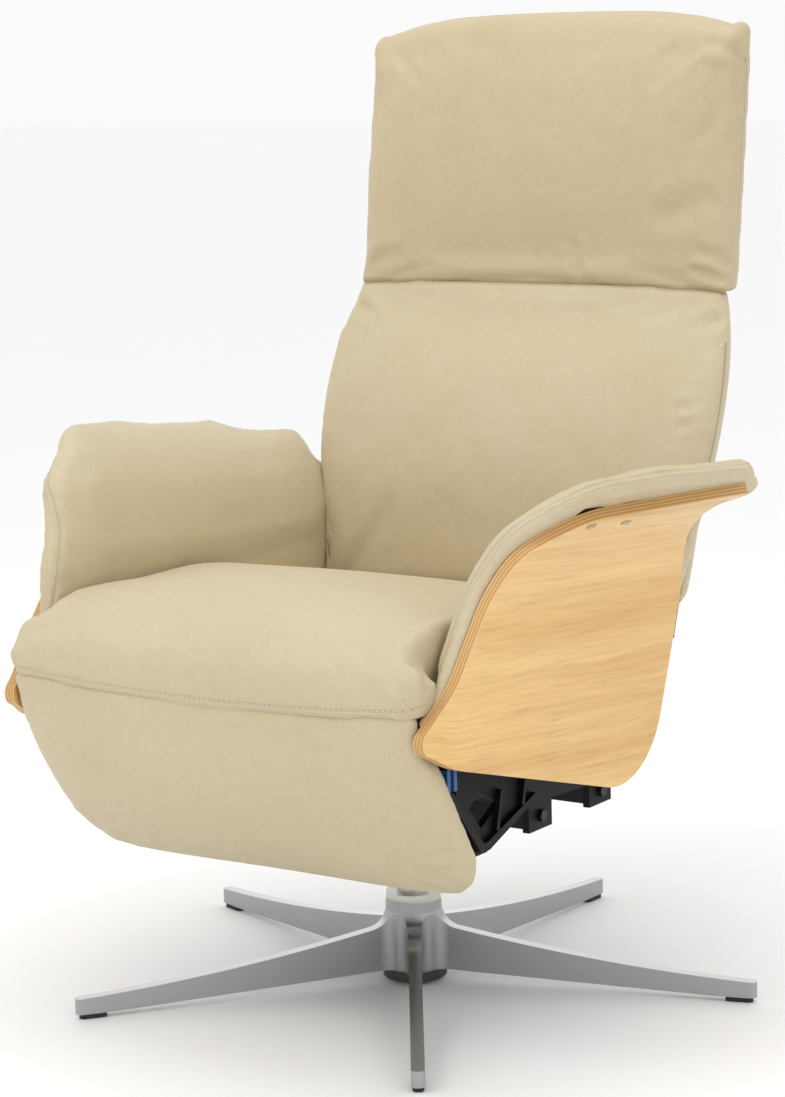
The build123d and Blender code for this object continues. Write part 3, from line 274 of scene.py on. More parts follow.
def leatherFinish(name, seams=(), paintedShade=(1.0, 1.0, 1.0)):
    mat = Finish(name, Sheen_Weight=0.06, Sheen_Roughness=0.45, Coat_Roughness=0.4, Coat_Weight=0.06)
    cloud = mat.noise(mat.coords, leatherGrain["cloud"])
    mottle = mat.noise(mat.coords, leatherGrain["mottle"])
    cell = mat.make("ShaderNodeTexVoronoi", {"feature": "DISTANCE_TO_EDGE"},
                    {"Vector": mat.coords, "Scale": leatherGrain["cells"], "Randomness": 1.0}, "Distance")
    grain = cell.ease(0.0, 0.26)
    fine = mat.noise(mat.coords, leatherGrain["fine"], 2.0)
    tone = (cloud * 0.65 + mottle * 0.5 - 0.08).ease(0.25, 0.8)
    # a darker tint here paints shade over a whole cover (the headrest), a shaded copy of the same leather
    pale, deep = (tuple(a * b for a, b in zip(leatherTone[k], paintedShade)) for k in ("pale", "deep"))
    colour = mat.mix(tone, pale, deep)
    colour = mat.mix((1.0 - grain) * 0.16, colour, leatherTone["seam"])
    normal = mat.bump(grain * 0.55 + fine * 0.18, leatherGrain["depth"])
    for seam in seams:
        groove, thread, lip = seam(mat)
        # a seam's groove is its dark sewn line; the fold functions hand in painted shade through the same slot
        colour = mat.mix(groove * 0.72, colour, leatherTone["seam"])
        colour = mat.mix(thread * 0.55, colour, leatherTone["thread"])
        normal = mat.bump(lip * 0.5 + thread * 0.45 - groove * 1.6, leatherGrain["seamDepth"], normal)
    soft = mat.noise(mat.coords, leatherGrain["soft"], 2.0, 0.5)
    mat.feed(Base_Color=colour, Roughness=0.40 + mottle * 0.10 + (1.0 - grain) * 0.12,
             Normal=mat.bump(soft, leatherGrain["softDepth"], normal))
    return mat.material


stitch = {"groove": (0.0003, 0.0012), "lip": 0.0035, "lipWidth": 0.0032, "thread": (0.0004, 0.0008),
          "pitch": 0.0062, "dash": (0.30, 0.38)}


def sewn(place, reach, along, mask, dark=0.5):
    # a sewn line where place is 0, a row of thread at reach beside it, and the line's swollen lips
    gap = abs(place)
    groove = (1.0 - gap.ease(*stitch["groove"])) * mask * dark
    lip = (1.0 - abs(gap - stitch["lip"]).ease(0.0, stitch["lipWidth"])) * mask
    row = 1.0 - abs(place - reach).ease(*stitch["thread"])
    dash = (1.0 - abs((along / stitch["pitch"]).part() - 0.5).ease(*stitch["dash"])) * row * mask
    return groove, dash, lip


def padSeam(mat):
    along, rise = armFlat(mat.y, mat.z)
    over = rise.most(0.0)
    out = armLine["x"] - abs(mat.x)
    through = (out * out + over * over).root()
    across = over.angle(out) * armLine["middle"] + rise.least(0.0)
    low, high = pads["seamBand"]
    return sewn(through - pads["seam"], pads["thread"], along + across, through.over(low) * through.under(high),
                pads["seamDark"])


def seatSeam(mat):
    return sewn(mat.z - seamHeight(mat.x) - seat["seamLift"], 0.0, mat.x, mat.y.under(seat["seamFront"]),
                seat["seamDark"])


def sideSeam(mat, line, spec):
    # up both sides of a leaning cushion
    up = upOf(line, mat.y, mat.z)
    mask = abs(mat.x).over(spec["seamSide"]) * up.under(spec["seamTop"])
    return sewn(rearOf(line, mat.y, mat.z) - spec["seamRear"], spec["thread"], up, mask)


def backSeam(mat):
    return sideSeam(mat, backLine, back)


def headSeam(mat):
    return sideSeam(mat, headLine, head)


def headFoldShade(mat):
    # painted shade: darker where the headrest folds over the back
    dark = (1.0 - upOf(headLine, mat.y, mat.z).ease(*head["foldUp"])) * head["foldShade"]
    return dark, dark * 0.0, dark * 0.0


def backFoldShade(mat):
    # painted shade: darker at the top of the back, under the headrest's fold
    dark = upOf(backLine, mat.y, mat.z).ease(*back["foldUp"]) * back["foldShade"]
    return dark, dark * 0.0, dark * 0.0


def shellSeam(mat):
    # two upright seams on the outside back
    return sewn(abs(mat.x) - shells["seamX"], shells["thread"], mat.z, mat.y.over(shells["seamFrom"]))


def metalFinish(name, colour, low, high, grainScale, depth):
    mat = Finish(name, Metallic=1.0)
    blotch = mat.noise(mat.coords, 9.0)
    tooth = mat.noise(mat.coords, grainScale, 3.0, 0.6)
    mat.feed(Base_Color=mat.mix(blotch, tuple(c * 0.9 for c in colour), colour),
             Roughness=low + (high - low) * (blotch * 0.5 + tooth * 0.5).ease(0.3, 0.7),
             Normal=mat.bump(tooth, depth))
    return mat.material


def castFinish():
    # polished on top, satin on the flanks and underneath; the flanks' darker base colour is painted shade
    mat = Finish("polishedAluminium", Metallic=1.0)
    rise = mat.split(mat.make("ShaderNodeNewGeometry", {}, {}, "Normal"))[2]
    flank = 1.0 - rise.ease(0.45, 0.85)
    skin = mat.noise(mat.coords, 420.0, 3.0, 0.6)
    cloud = mat.noise(mat.coords, 14.0)
    # darker colour on faces turned away from up is painted shade; the rougher satin flanks are the real finish
    mat.feed(Base_Color=mat.mix(flank * 0.7, (0.66, 0.66, 0.67), (0.33, 0.33, 0.34)),
             Roughness=0.09 + flank * 0.34 + cloud * 0.06,
             Normal=mat.bump(skin * flank, 0.00018))
    return mat.material


def plasticFinish(name, colour, rough, depth, gloss=0.4):
    mat = Finish(name, Specular_IOR_Level=gloss)
    tooth = mat.noise(mat.coords, 1100.0, 2.0)
    cloud = mat.noise(mat.coords, 11.0, 4.0)
    mat.feed(Base_Color=mat.mix(cloud * 0.6, colour, tuple(min(1.0, c * 1.7) for c in colour)),
             Roughness=rough + cloud * 0.12 - 0.06 + tooth * 0.06, Normal=mat.bump(tooth, depth))
    return mat.material


def plyFinish():
    mat = Finish("seatPly")
    fibre = mat.noise(mat.vector(mat.x * 160.0, mat.y * 5.0, mat.z * 160.0), 1.0, 4.0)
    mat.feed(Base_Color=mat.mix(fibre.ease(0.3, 0.7), (0.62, 0.43, 0.22), (0.45, 0.28, 0.12)),
             Roughness=0.55 + fibre * 0.15, Normal=mat.bump(fibre, 0.0003))
    return mat.material


finishes = {
    "polished_aluminium": castFinish(),
    "black_glide": plasticFinish("blackGlide", (0.012, 0.012, 0.012), 0.55, 0.0002),
    "grey_cap": plasticFinish("greyCap", (0.035, 0.035, 0.036), 0.5, 0.0002),
    "bearing_plastic": plasticFinish("bearingPlastic", (0.55, 0.53, 0.47), 0.4, 0.0001),
    "steel": metalFinish("zincSteel", (0.62, 0.61, 0.58), 0.25, 0.42, 300.0, 0.00008),
    "black_steel": plasticFinish("blackSteel", (0.0085, 0.0085, 0.009), 0.42, 0.00025, 0.25),
    "black_plastic": plasticFinish("blackPlastic", (0.0045, 0.0042, 0.0037), 0.48, 0.00025, 0.2),
    "blue_plastic": plasticFinish("blueClip", (0.040, 0.125, 0.36), 0.34, 0.0001),
    "oak": oakFinish(),
    "plywood": plyFinish(),
    "button_metal": metalFinish("buttonMetal", (0.50, 0.44, 0.36), 0.22, 0.36, 500.0, 0.00006),
    "cream_leather": leatherFinish("creamLeather"),
}
blackened = {"nodes": ("bracket_bolts", "plate_bolts", "drive_bolts"),
             "finish": metalFinish("blackenedSteel", (0.055, 0.053, 0.050), 0.30, 0.45, 300.0, 0.00008)}
for sub in frame["record"]["subparts"]:
    dark = sub["node"] in blackened["nodes"]
    for place in nodes[sub["node"]].material_slots:
        place.material = blackened["finish"] if dark else finishes[sub["material_slot"]]
print("frame dressed")


# tools for making pieces

def copied(node):
    bm = bmesh.new()
    bm.from_mesh(nodes[node].data)
    bmesh.ops.remove_doubles(bm, verts=bm.verts, dist=1e-5)
    return bm


def added(bm, corners, cuts, shape):
    # a block between two corners, cut across its width, then bent by shape
    low, high = corners
    block = bmesh.new()
    bmesh.ops.create_cube(block, size=1.0)
    bmesh.ops.scale(block, verts=block.verts, vec=[b - a for a, b in zip(low, high)])
    bmesh.ops.translate(block, verts=block.verts, vec=[(a + b) / 2 for a, b in zip(low, high)])
    wide = [e for e in block.edges if abs(e.verts[0].co.x - e.verts[1].co.x) > 1e-6]
    bmesh.ops.subdivide_edges(block, edges=wide, cuts=cuts, use_grid_fill=True)
    for v in block.verts:
        v.co = shape(v.co)
    spare = bpy.data.meshes.new("spare")
    block.to_mesh(spare)
    block.free()
    bm.from_mesh(spare)
    bpy.data.meshes.remove(spare)


def placed(bm, name):
    mesh = bpy.data.meshes.new(name)
    bm.to_mesh(mesh)
    bm.free()
    piece = bpy.data.objects.new(name, mesh)
    scene.collection.objects.link(piece)
    return piece


def settled(piece):
    # the modifiers' result becomes the piece's own mesh
    graph = bpy.context.evaluated_depsgraph_get()
    mesh = bpy.data.meshes.new_from_object(piece.evaluated_get(graph))
    old = piece.data
    piece.modifiers.clear()
    piece.data = mesh
    bpy.data.meshes.remove(old)


def wrapped(piece, voxel):
    # one even skin around all that the piece holds
    skin = piece.modifiers.new("skin", "REMESH")
    skin.mode = "VOXEL"
    skin.voxel_size = voxel
    settled(piece)
    return piece


def relaxed(piece, *factors):
    # a negative factor after a positive one gives back what smoothing takes off
    bm = bmesh.new()
    bm.from_mesh(piece.data)
    for factor in factors:
        bmesh.ops.smooth_vert(bm, verts=bm.verts, factor=factor, use_axis_x=True, use_axis_y=True,
                              use_axis_z=True)
    bm.to_mesh(piece.data)
    bm.free()


def points(piece, kind="co"):
    spots = np.empty(len(piece.data.vertices) * 3)
    piece.data.vertices.foreach_get(kind, spots)
    return spots.reshape(-1, 3)


def setPoints(piece, spots):
    piece.data.vertices.foreach_set("co", np.ascontiguousarray(spots).ravel())
    piece.data.update()


def eased(values, low, high):
    t = np.clip((values - low) / (high - low), 0.0, 1.0)
    return t * t * (3 - 2 * t)


def alongArm(spots):
    # how far along, across and through the bent sheet each point is
    along, rise = armFlat(spots[:, 1], spots[:, 2])
    out, over = armLine["x"] - np.abs(spots[:, 0]), np.maximum(rise, 0.0)
    across = np.arctan2(over, out) * armLine["middle"] + np.minimum(rise, 0.0)
    return np.stack([along, across, np.hypot(out, over)], axis=1)


clothRun = {"frames": 20, "quality": 5, "mass": 0.3, "stretch": 12.0, "bend": 0.6}


def stuffed(jobs):
    # all the covers are blown up together by the cloth solver, each point by no more than its cap
    homes = {}
    for piece, spec in jobs:
        homes[piece.name] = points(piece)
        held = piece.vertex_groups.new(name="held")
        held.add(np.flatnonzero(spec["held"](homes[piece.name])).tolist(), 1.0, "ADD")
        cover = piece.modifiers.new("cover", "CLOTH")
        cloth = cover.settings
        cloth.quality = clothRun["quality"]
        cloth.mass = clothRun["mass"]
        cloth.tension_stiffness = cloth.compression_stiffness = clothRun["stretch"]
        cloth.bending_stiffness = clothRun["bend"]
        cloth.use_pressure = True
        cloth.uniform_pressure_force = spec["pressure"]
        cloth.vertex_group_mass = "held"
        cloth.effector_weights.gravity = 0.0
        cover.point_cache.frame_start, cover.point_cache.frame_end = 1, clothRun["frames"]
    for step in range(clothRun["frames"]):
        scene.frame_set(step + 1)
    for piece, spec in jobs:
        settled(piece)
        moved = points(piece) - homes[piece.name]
        far = np.linalg.norm(moved, axis=1, keepdims=True)
        setPoints(piece, homes[piece.name] + moved * np.minimum(1.0, spec["cap"] / np.maximum(far, 1e-9)))
        piece.vertex_groups.clear()
    scene.frame_set(1)


def taut(piece, rounds, where):
    # tight leather spans the hollows and leaves the bulges alone
    ends = np.empty(len(piece.data.edges) * 2, dtype=np.int32)
    piece.data.edges.foreach_get("vertices", ends)
    here, there = np.concatenate([ends[::2], ends[1::2]]), np.concatenate([ends[1::2], ends[::2]])
    links = np.bincount(here)[:, None]
    for step in range(rounds):
        spots, normals = points(piece), points(piece, "normal")
        mean = np.stack([np.bincount(here, spots[there, i]) for i in range(3)], axis=1) / links
        pull = np.maximum(((mean - spots) * normals).sum(axis=1), 0.0) * where(spots)
        setPoints(piece, spots + 0.7 * pull[:, None] * normals)


def finer(piece):
    fine = piece.modifiers.new("fine", "SUBSURF")
    fine.levels = fine.render_levels = 1
    settled(piece)
    for face in piece.data.polygons:
        face.use_smooth = True


def creased(piece, spot, folds):
    # each fold is a line of spots with a width, a depth and the swell on its two sides
    spots, normals = points(piece), points(piece, "normal")
    shift = np.zeros(len(spots))
    for marks, width, depth, swell in folds:
        line = np.array([spot(*mark) for mark in marks])
        gap = np.full(len(spots), 9.0)
        fade = np.zeros(len(spots))
        run = np.linalg.norm(np.diff(line, axis=0), axis=1)
        done, total = 0.0, run.sum()
        for a, b, length in zip(line[:-1], line[1:], run):
            t = np.clip((spots - a) @ (b - a) / length ** 2, 0.0, 1.0)
            d = np.linalg.norm(spots - a - t[:, None] * (b - a), axis=1)
            near = d < gap
            gap[near] = d[near]
            fade[near] = ((done + t * length) / total)[near]
            done += length
        dip = -depth * np.exp(-(gap / width) ** 2)
        rim = swell * np.exp(-((gap - 2.0 * width) / width) ** 2)
        shift += (dip + rim) * eased(np.minimum(fade, 1.0 - fade), 0.0, 0.22)  # both ends run out
    setPoints(piece, spots + normals * shift[:, None])


# arm sheets: the front ends lean towards the seat

arms = {"toeIn": 0.0115, "back": 0.0255, "lift": 0.004, "from": -0.205, "to": -0.290,
        "cuts": 9, "cutPitch": 0.01, "sharp": 0.6}


def toedIn(piece):
    spots = points(piece)
    t = eased(alongArm(spots)[:, 0], arms["from"], arms["to"])
    spots[:, 0] -= np.sign(spots[:, 0]) * arms["toeIn"] * t
    spots[:, 1] += arms["back"] * t
    spots[:, 2] += arms["lift"] * t
    setPoints(piece, spots)


def sheetPiece(node, name):
    # cut across where it bends, and marked with its flat coordinates for the oak
    bm = copied(node)
    for step in range(arms["cuts"]):
        bmesh.ops.bisect_plane(bm, geom=[*bm.verts, *bm.edges, *bm.faces], dist=1e-6,
                               plane_co=armSpot(0, arms["from"] - arms["cutPitch"] * step, 0),
                               plane_no=(0, armCos, -armSin))
    for edge in bm.edges:
        edge.smooth = len(edge.link_faces) == 2 and edge.calc_face_angle(0.0) < arms["sharp"]
    for face in bm.faces:
        face.smooth = True
    piece = placed(bm, name)
    sheet = piece.data.attributes.new("sheet", "FLOAT_VECTOR", "POINT")
    sheet.data.foreach_set("vector", alongArm(points(piece)).ravel())
    toedIn(piece)
    piece.data.materials.append(finishes["oak"])
    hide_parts(node)
    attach(piece, "carrier")


sheetPiece("arm_shell_left", "armSheetLeft")
sheetPiece("arm_shell_right", "armSheetRight")
print("arm sheets bent")


# seat: a lip over the seam, and a wing on each side that fills the step behind the nose

seat = {"voxel": 0.006, "pressure": 4.0, "cap": 0.007, "fill": 0.75, "half": 0.25,
        "seamMid": 0.3775, "seamRise": 0.012, "seamLift": 0.0105, "seamFront": -0.345, "seamDark": 0.30,
        "lip": ((-0.247, -0.3725, 0.3775), (0.247, -0.351, 0.415)), "lipBack": 0.001,
        "wings": (((0.200, -0.352, 0.388), (0.2555, -0.322, 0.452)),
                  ((-0.2555, -0.352, 0.388), (-0.200, -0.322, 0.452))),
        "wingFrom": 0.21, "wingRun": 0.0455, "slopes": (0.010, 0.034), "wingIn": 0.005,
        "held": lambda p: ((p[:, 2] < 0.394) | (np.abs(p[:, 0]) > 0.222) & (p[:, 1] > -0.33) | (p[:, 1] > 0.13)),
        "folds": [([(252, -362, 384), (248, -370, 398), (240, -374, 412)], 0.006, 0.0045, 0.0018),
                  ([(253, -350, 392), (250, -366, 410), (236, -373, 428)], 0.006, 0.0035, 0.0014),
                  ([(-252, -362, 384), (-248, -370, 398), (-240, -374, 412)], 0.006, 0.0045, 0.0018),
                  ([(-200, -50, 466), (0, -40, 468), (200, -50, 466)], 0.03, 0.0025, 0.0)]}


def seamHeight(x):
    return seat["seamMid"] + (x / seat["half"]) * (x / seat["half"]) * seat["seamRise"]


def lipShape(co):
    low = co.z < 0.39
    return Vector((co.x, co.y + (seat["lipBack"] if low else 0.0), seamHeight(co.x) if low else co.z))


def wingShape(co):
    outer = max(0.0, abs(co.x) - seat["wingFrom"]) / seat["wingRun"]
    slope = seat["slopes"][co.x > 0] * outer if co.z > 0.42 else 0.0
    inward = math.copysign(seat["wingIn"] * outer if co.y < -0.335 else 0.0, co.x)
    return Vector((co.x - inward, co.y, co.z - slope))


bm = copied("seat_cushion")
added(bm, seat["lip"], 24, lipShape)
for wing in seat["wings"]:
    added(bm, wing, 3, wingShape)
seatPiece = wrapped(placed(bm, "seatCushionCover"), seat["voxel"])


# footrest: an apron of leather up to the seat's seam

foot = {"voxel": 0.006, "pressure": 4.0, "cap": 0.006, "fill": 0.7,
        "apron": ((-0.250, -0.3695, 0.335), (0.250, -0.347, 0.386)), "apronLift": 0.0065,
        "apronFront": -0.3712, "apronTop": 0.392, "apronSlope": 0.29,
        "blendFrom": (0, -0.364, 0.392), "blendTo": (0, -0.350, 0.305),
        "held": lambda p: ((p[:, 2] > 0.352)
                           | ((p[:, 1] + 0.332) * 0.857 + (p[:, 2] - 0.36) * 0.515 > -0.014)),
        "folds": [([(252, 26, 118), (240, 34, 122), (222, 37, 128)], 0.006, 0.0030, 0.0012),
                  ([(252, 26, 142), (238, 33, 144), (216, 36, 150)], 0.006, 0.0032, 0.0012),
                  ([(252, 22, 168), (240, 30, 168), (224, 32, 172)], 0.006, 0.0028, 0.0010),
                  ([(-252, 26, 130), (-240, 34, 134), (-220, 37, 140)], 0.006, 0.0030, 0.0012)]}


def apronShape(co):
    high = seamHeight(co.x) + foot["apronLift"] if co.z > 0.36 else co.z
    front = foot["apronFront"] + (foot["apronTop"] - high) * foot["apronSlope"]
    return Vector((co.x, front if co.y < -0.356 else co.y, high))


bm = copied("footrest_cushion")
added(bm, foot["apron"], 24, apronShape)
footPiece = wrapped(placed(bm, "footrestCover"), foot["voxel"])


# back and headrest: each is filled up to the fold between them, and bowed back at the sides

# at the top of the back, under the headrest's fold, the leather gets painted shade
back = {"voxel": 0.006, "pressure": 4.0, "cap": 0.008, "fill": 0.7, "wider": (0.045, 0.012),
        "widerRear": (0.026, -0.006), "widerUp": (0.05, 0.20), "seamRear": -0.0125, "seamSide": 0.222,
        "seamTop": 0.300, "thread": -0.0045, "foldUp": (0.351, 0.360), "foldShade": 0.7,
        "crest": ((-0.236, -0.034, 0.290), (0.236, 0.006, 0.3635)), "bow": 0.020, "half": 0.236, "crestSlope": 0.2,
        "blendFrom": (0, -10, 318), "blendTo": (0, -10, 375),
        "held": lambda p: ((rearOf(backLine, p[:, 1], p[:, 2]) > 0.004)
                           | (upOf(backLine, p[:, 1], p[:, 2]) > 0.340)),
        "folds": [([(-52, -38, 350), (-60, -50, 325), (-76, -54, 296)], 0.007, 0.0035, 0.0014),
                  ([(-30, -38, 350), (-36, -50, 322), (-44, -54, 286)], 0.008, 0.0030, 0.0012),
                  ([(246, -8, 330), (232, -24, 318), (210, -36, 312)], 0.007, 0.0040, 0.0012),
                  ([(246, -12, 232), (230, -24, 222), (214, -32, 216)], 0.006, 0.0030, 0.0010),
                  ([(246, -12, 206), (230, -24, 200), (216, -32, 196)], 0.006, 0.0030, 0.0010),
                  ([(-246, -8, 330), (-228, -24, 322), (-206, -36, 316)], 0.008, 0.0040, 0.0012)]}
# the headrest gets painted shade along its fold, and its whole leather a darker painted-shade tint
head = {"voxel": 0.006, "pressure": 4.0, "cap": 0.008, "fill": 0.7, "wider": (0.050, 0.034), "taller": 0.006,
        "widerRear": (0.024, -0.004), "tallerUp": (0.18, 0.30), "seamRear": 0.010, "seamSide": 0.222,
        "seamTop": 0.262, "thread": -0.0045, "foldUp": (-0.001, 0.009), "foldShade": 0.8, "paintedShade": (0.94, 0.91, 0.86),
        "heel": ((-0.234, -0.025, -0.0025), (0.234, -0.0055, 0.030)), "bow": 0.011,
        "held": lambda p: (rearOf(headLine, p[:, 1], p[:, 2]) > 0.010) | (p[:, 2] < 0.748),
        "folds": [([(248, -4, 12), (225, -20, 20), (196, -30, 24)], 0.006, 0.0045, 0.0015),
                  ([(250, 0, 26), (228, -18, 40), (206, -30, 46)], 0.007, 0.0035, 0.0012),
                  ([(64, -34, 6), (60, -38, 30), (52, -38, 58)], 0.008, 0.0030, 0.0016),
                  ([(236, -20, 110), (190, -34, 88), (150, -38, 78)], 0.014, 0.0035, 0.0012),
                  ([(-240, -10, 20), (-205, -28, 30), (-170, -34, 34)], 0.009, 0.0035, 0.0012),
                  ([(240, 22, 262), (246, 2, 264), (232, -16, 268), (200, -24, 276)], 0.007, 0.0040, 0.0016),
                  ([(-240, 22, 262), (-246, 2, 264), (-232, -16, 266), (-206, -24, 268)], 0.008, 0.0026, 0.0010),
                  ([(222, 8, 300), (246, 6, 292), (254, 4, 274)], 0.015, -0.0065, 0.0)]}
shells = {"voxel": 0.006, "pressure": 3.0, "cap": 0.004, "fill": 0.85, "seamX": 0.150, "seamFrom": 0.05,
          "thread": 0.0045}


def bowed(x, depth):
    return depth * (abs(x) / back["half"]) ** 2.2


def crestShape(co):
    rear = co.y + (bowed(co.x, back["bow"]) if co.y < 0 else 0.0)
    up = co.z + (back["crestSlope"] * rear if co.z > 0.33 else 0.0)
    return Vector(backSpot(co.x * 1000, rear * 1000, up * 1000))


def heelShape(co):
    rear = co.y + (bowed(co.x, head["bow"]) if co.y < -0.01 else 0.0)
    return Vector(headSpot(co.x * 1000, rear * 1000, co.z * 1000))


bm = copied("back_cushion")
added(bm, back["crest"], 24, crestShape)
backPiece = wrapped(placed(bm, "backCushionCover"), back["voxel"])
bm = copied("headrest_cushion")
added(bm, head["heel"], 24, heelShape)
headPiece = wrapped(placed(bm, "headrestCover"), head["voxel"])
backOuter = wrapped(placed(copied("back_shell"), "backOuterCover"), shells["voxel"])
headOuter = wrapped(placed(copied("headrest_shell"), "headrestOuterCover"), shells["voxel"])


# arm pads: both start from the right solid; the left one ends at the sheet's rear edge, the right one is fuller.
# a swell is a move, then where along and where across the arm it comes in

pads = {"voxel": 0.005, "pressure": 5.0, "cap": 0.008, "fill": 0.8,
        "seam": 0.1490, "seamBand": (0.134, 0.157), "seamDark": 0.22, "thread": -0.0042,
        "swells": {"front": ((-0.008, -0.022, 0.012), (0.08, -0.12), (-0.06, 0.02)),
                   "rear": ((0.0, 0.041, 0.0), (0.14, 0.25), (0.095, 0.055)),
                   "tail": ((0.0, 0.016, 0.003), (0.20, 0.31), (0.04, 0.09)),
                   "brow": ((-0.002, -0.009, 0.002), (0.04, -0.06), (-0.02, 0.09))},
        "topLift": 0.009, "topAcross": (0.03, 0.08), "topDip": 0.1, "dipAt": 0.225, "dipWidth": 0.04,
        "tautRounds": 90, "tautAcross": (0.0, 0.03), "tautUp": (0.47, 0.50),
        "held": lambda p: (alongArm(p)[:, 2] < 0.141) | (p[:, 2] < 0.455),
        "rearCut": [(0.308, 0.103), (0.240, 0.099), (0.224, 0.085), (0.230, 0.068), (0.236, 0.042),
                    (0.226, 0.0), (0.215, -0.060), (0.212, -0.090), (0.340, -0.090), (0.340, 0.103)]}
tail = {"from": -0.205, "run": 0.063, "bend": -0.220, "bendEdge": -0.059, "slopes": (1.459, 0.80),
        "width": (0.034, 0.018), "thick": (0.019, 0.011), "inset": 0.001, "way": (0.625, 0.781), "face": 0.1325}
pockets = {"along": (-0.045, 0.024), "out": 0.0869, "rise": 0.1000, "half": 0.022, "width": 0.012, "depth": 0.0055}


def tailShape(co):
    # the pad's thin end follows the front edge of the sheet down to its tip
    along = tail["from"] - tail["run"] * co.x
    edge = tail["bendEdge"] + (along - tail["bend"]) * tail["slopes"][along < tail["bend"]]
    inside = (tail["width"][0] - tail["width"][1] * co.x) * co.y - tail["inset"]
    thick = (tail["thick"][0] - tail["thick"][1] * co.x) * co.z
    spot = armSpot(0, along + inside * tail["way"][0], edge - inside * tail["way"][1])
    return Vector((armLine["x"] - tail["face"] - thick, spot.y, spot.z))


def rearTrimmed(piece):
    # what lies behind the sheet's rear edge comes off
    trim = bmesh.new()
    face = trim.faces.new([trim.verts.new(armSpot(0.1, u, v)) for u, v in pads["rearCut"]])
    pulled = bmesh.ops.extrude_face_region(trim, geom=[face])["geom"]
    bmesh.ops.translate(trim, verts=[g for g in pulled if isinstance(g, bmesh.types.BMVert)], vec=(0.4, 0, 0))
    bmesh.ops.recalc_face_normals(trim, faces=trim.faces)
    knife = placed(trim, "trimTool")
    cutter = piece.modifiers.new("cutter", "BOOLEAN")
    cutter.operation = "DIFFERENCE"
    cutter.object = knife
    wrapped(piece, pads["voxel"])
    bpy.data.objects.remove(knife)


bm = copied("arm_pad_right")
bmesh.ops.scale(bm, verts=bm.verts, vec=(-1, 1, 1))
bmesh.ops.reverse_faces(bm, faces=bm.faces)
added(bm, ((0, 0, 0), (1, 1, 1)), 12, tailShape)
padLeft = wrapped(placed(bm, "armPadLeftCover"), pads["voxel"])
rearTrimmed(padLeft)
bm = copied("arm_pad_right")
added(bm, ((0, 0, 0), (1, 1, 1)), 12, lambda co: tailShape(co) * Vector((-1, 1, 1)))
padRight = wrapped(placed(bm, "armPadRightCover"), pads["voxel"])


# the blanks are smoothed, and some stand a little proud of the solids, as sewn foam does

def fuller():
    spots = points(headPiece)
    wider = np.where(spots[:, 0] < 0, *head["wider"])
    spots[:, 0] *= 1 + wider * eased(rearOf(headLine, spots[:, 1], spots[:, 2]), *head["widerRear"])
    lift = head["taller"] * eased(upOf(headLine, spots[:, 1], spots[:, 2]), *head["tallerUp"])
    spots[:, 1] += lift * math.sin(headLine["lean"])
    spots[:, 2] += lift * math.cos(headLine["lean"])
    setPoints(headPiece, spots)
    spots = points(backPiece)
    wider = np.where(spots[:, 0] < 0, *back["wider"])
    wider = wider * eased(rearOf(backLine, spots[:, 1], spots[:, 2]), *back["widerRear"])
    spots[:, 0] *= 1 + wider * eased(upOf(backLine, spots[:, 1], spots[:, 2]), *back["widerUp"])
    setPoints(backPiece, spots)
    spots = points(padRight)
    along, across = alongArm(spots)[:, :2].T
    for move, alongIn, acrossIn in pads["swells"].values():
        spots += (eased(along, *alongIn) * eased(across, *acrossIn))[:, None] * np.array(move)
    dip = 1 - pads["topDip"] * np.exp(-((along - pads["dipAt"]) / pads["dipWidth"]) ** 2)
    spots[:, 2] += pads["topLift"] * eased(across, *pads["topAcross"]) * dip
    setPoints(padRight, spots)


softPieces = [seatPiece, footPiece, backPiece, headPiece, backOuter, headOuter, padLeft, padRight]
for piece in softPieces:
    relaxed(piece, *[0.5] * (6 if piece is footPiece else 3), *[0.5, -0.52] * 6)
toedIn(padLeft)
toedIn(padRight)
fuller()
print("soft blanks", [len(p.data.vertices) for p in softPieces])

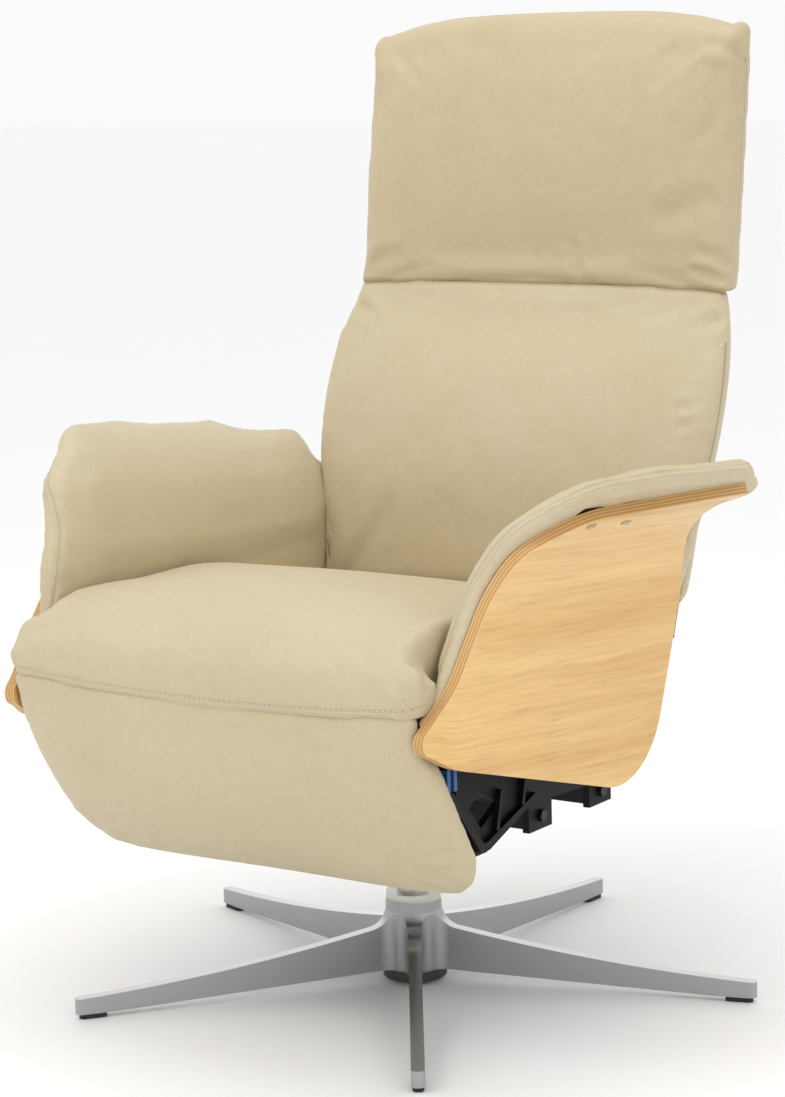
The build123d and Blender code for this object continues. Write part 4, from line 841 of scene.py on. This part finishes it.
stuffed([
    (seatPiece, seat),
    (footPiece, foot),
    (backPiece, back),
    (headPiece, head),
    (backOuter, {**shells, "held": lambda p: rearOf(backLine, p[:, 1], p[:, 2]) < 0.058}),
    (headOuter, {**shells, "held": lambda p: rearOf(headLine, p[:, 1], p[:, 2]) < 0.050}),
    (padLeft, pads),
    (padRight, pads),
])
taut(padRight, pads["tautRounds"],
     lambda p: eased(alongArm(p)[:, 1], *pads["tautAcross"]) * eased(p[:, 2], *pads["tautUp"]))
for piece in softPieces:
    relaxed(piece, *[0.5, -0.51] * (12 if piece in (backOuter, headOuter, padRight) else 3))
    finer(piece)
print("covers stuffed")

creased(headPiece, headSpot, head["folds"])
creased(backPiece, backSpot, back["folds"])
creased(seatPiece, seatSpot, seat["folds"])
creased(footPiece, footSpot, foot["folds"])
# room behind the two push buttons
pocketX = armLine["x"] - pockets["out"]
creased(padLeft, armSpot, [([(pocketX, u - pockets["half"], pockets["rise"]),
                             (pocketX, u + pockets["half"], pockets["rise"])],
                            pockets["width"], pockets["depth"], 0.0) for u in pockets["along"]])

padLeather = leatherFinish("padLeather", [padSeam])
covers = [
    (seatPiece, "carrier", "seat_cushion", seat, leatherFinish("seatLeather", [seatSeam])),
    (footPiece, ("carrier", "footrest", foot["blendFrom"], foot["blendTo"]),
     "footrest_cushion", foot, leatherFinish("footrestLeather")),
    (backPiece, ("backrest", "headrest", backSpot(*back["blendFrom"]), backSpot(*back["blendTo"])),
     "back_cushion", back, leatherFinish("backLeather", [backSeam, backFoldShade])),
    (headPiece, "headrest", "headrest_cushion", head,
     leatherFinish("headrestLeather", [headSeam, headFoldShade], head["paintedShade"])),
    (backOuter, "backrest", "back_shell", shells, leatherFinish("backOuterLeather", [shellSeam])),
    (headOuter, "headrest", "headrest_shell", shells, leatherFinish("headrestOuterLeather")),
    (padLeft, "carrier", "arm_pad_left", pads, padLeather),
    (padRight, "carrier", "arm_pad_right", pads, padLeather),
]
for piece, body, node, spec, finish in covers:
    piece.data.materials.clear()
    piece.data.materials.append(finish)
    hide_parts(node)
    if isinstance(body, str):
        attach(piece, body)
    else:
        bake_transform(piece)
print("covers fitted")
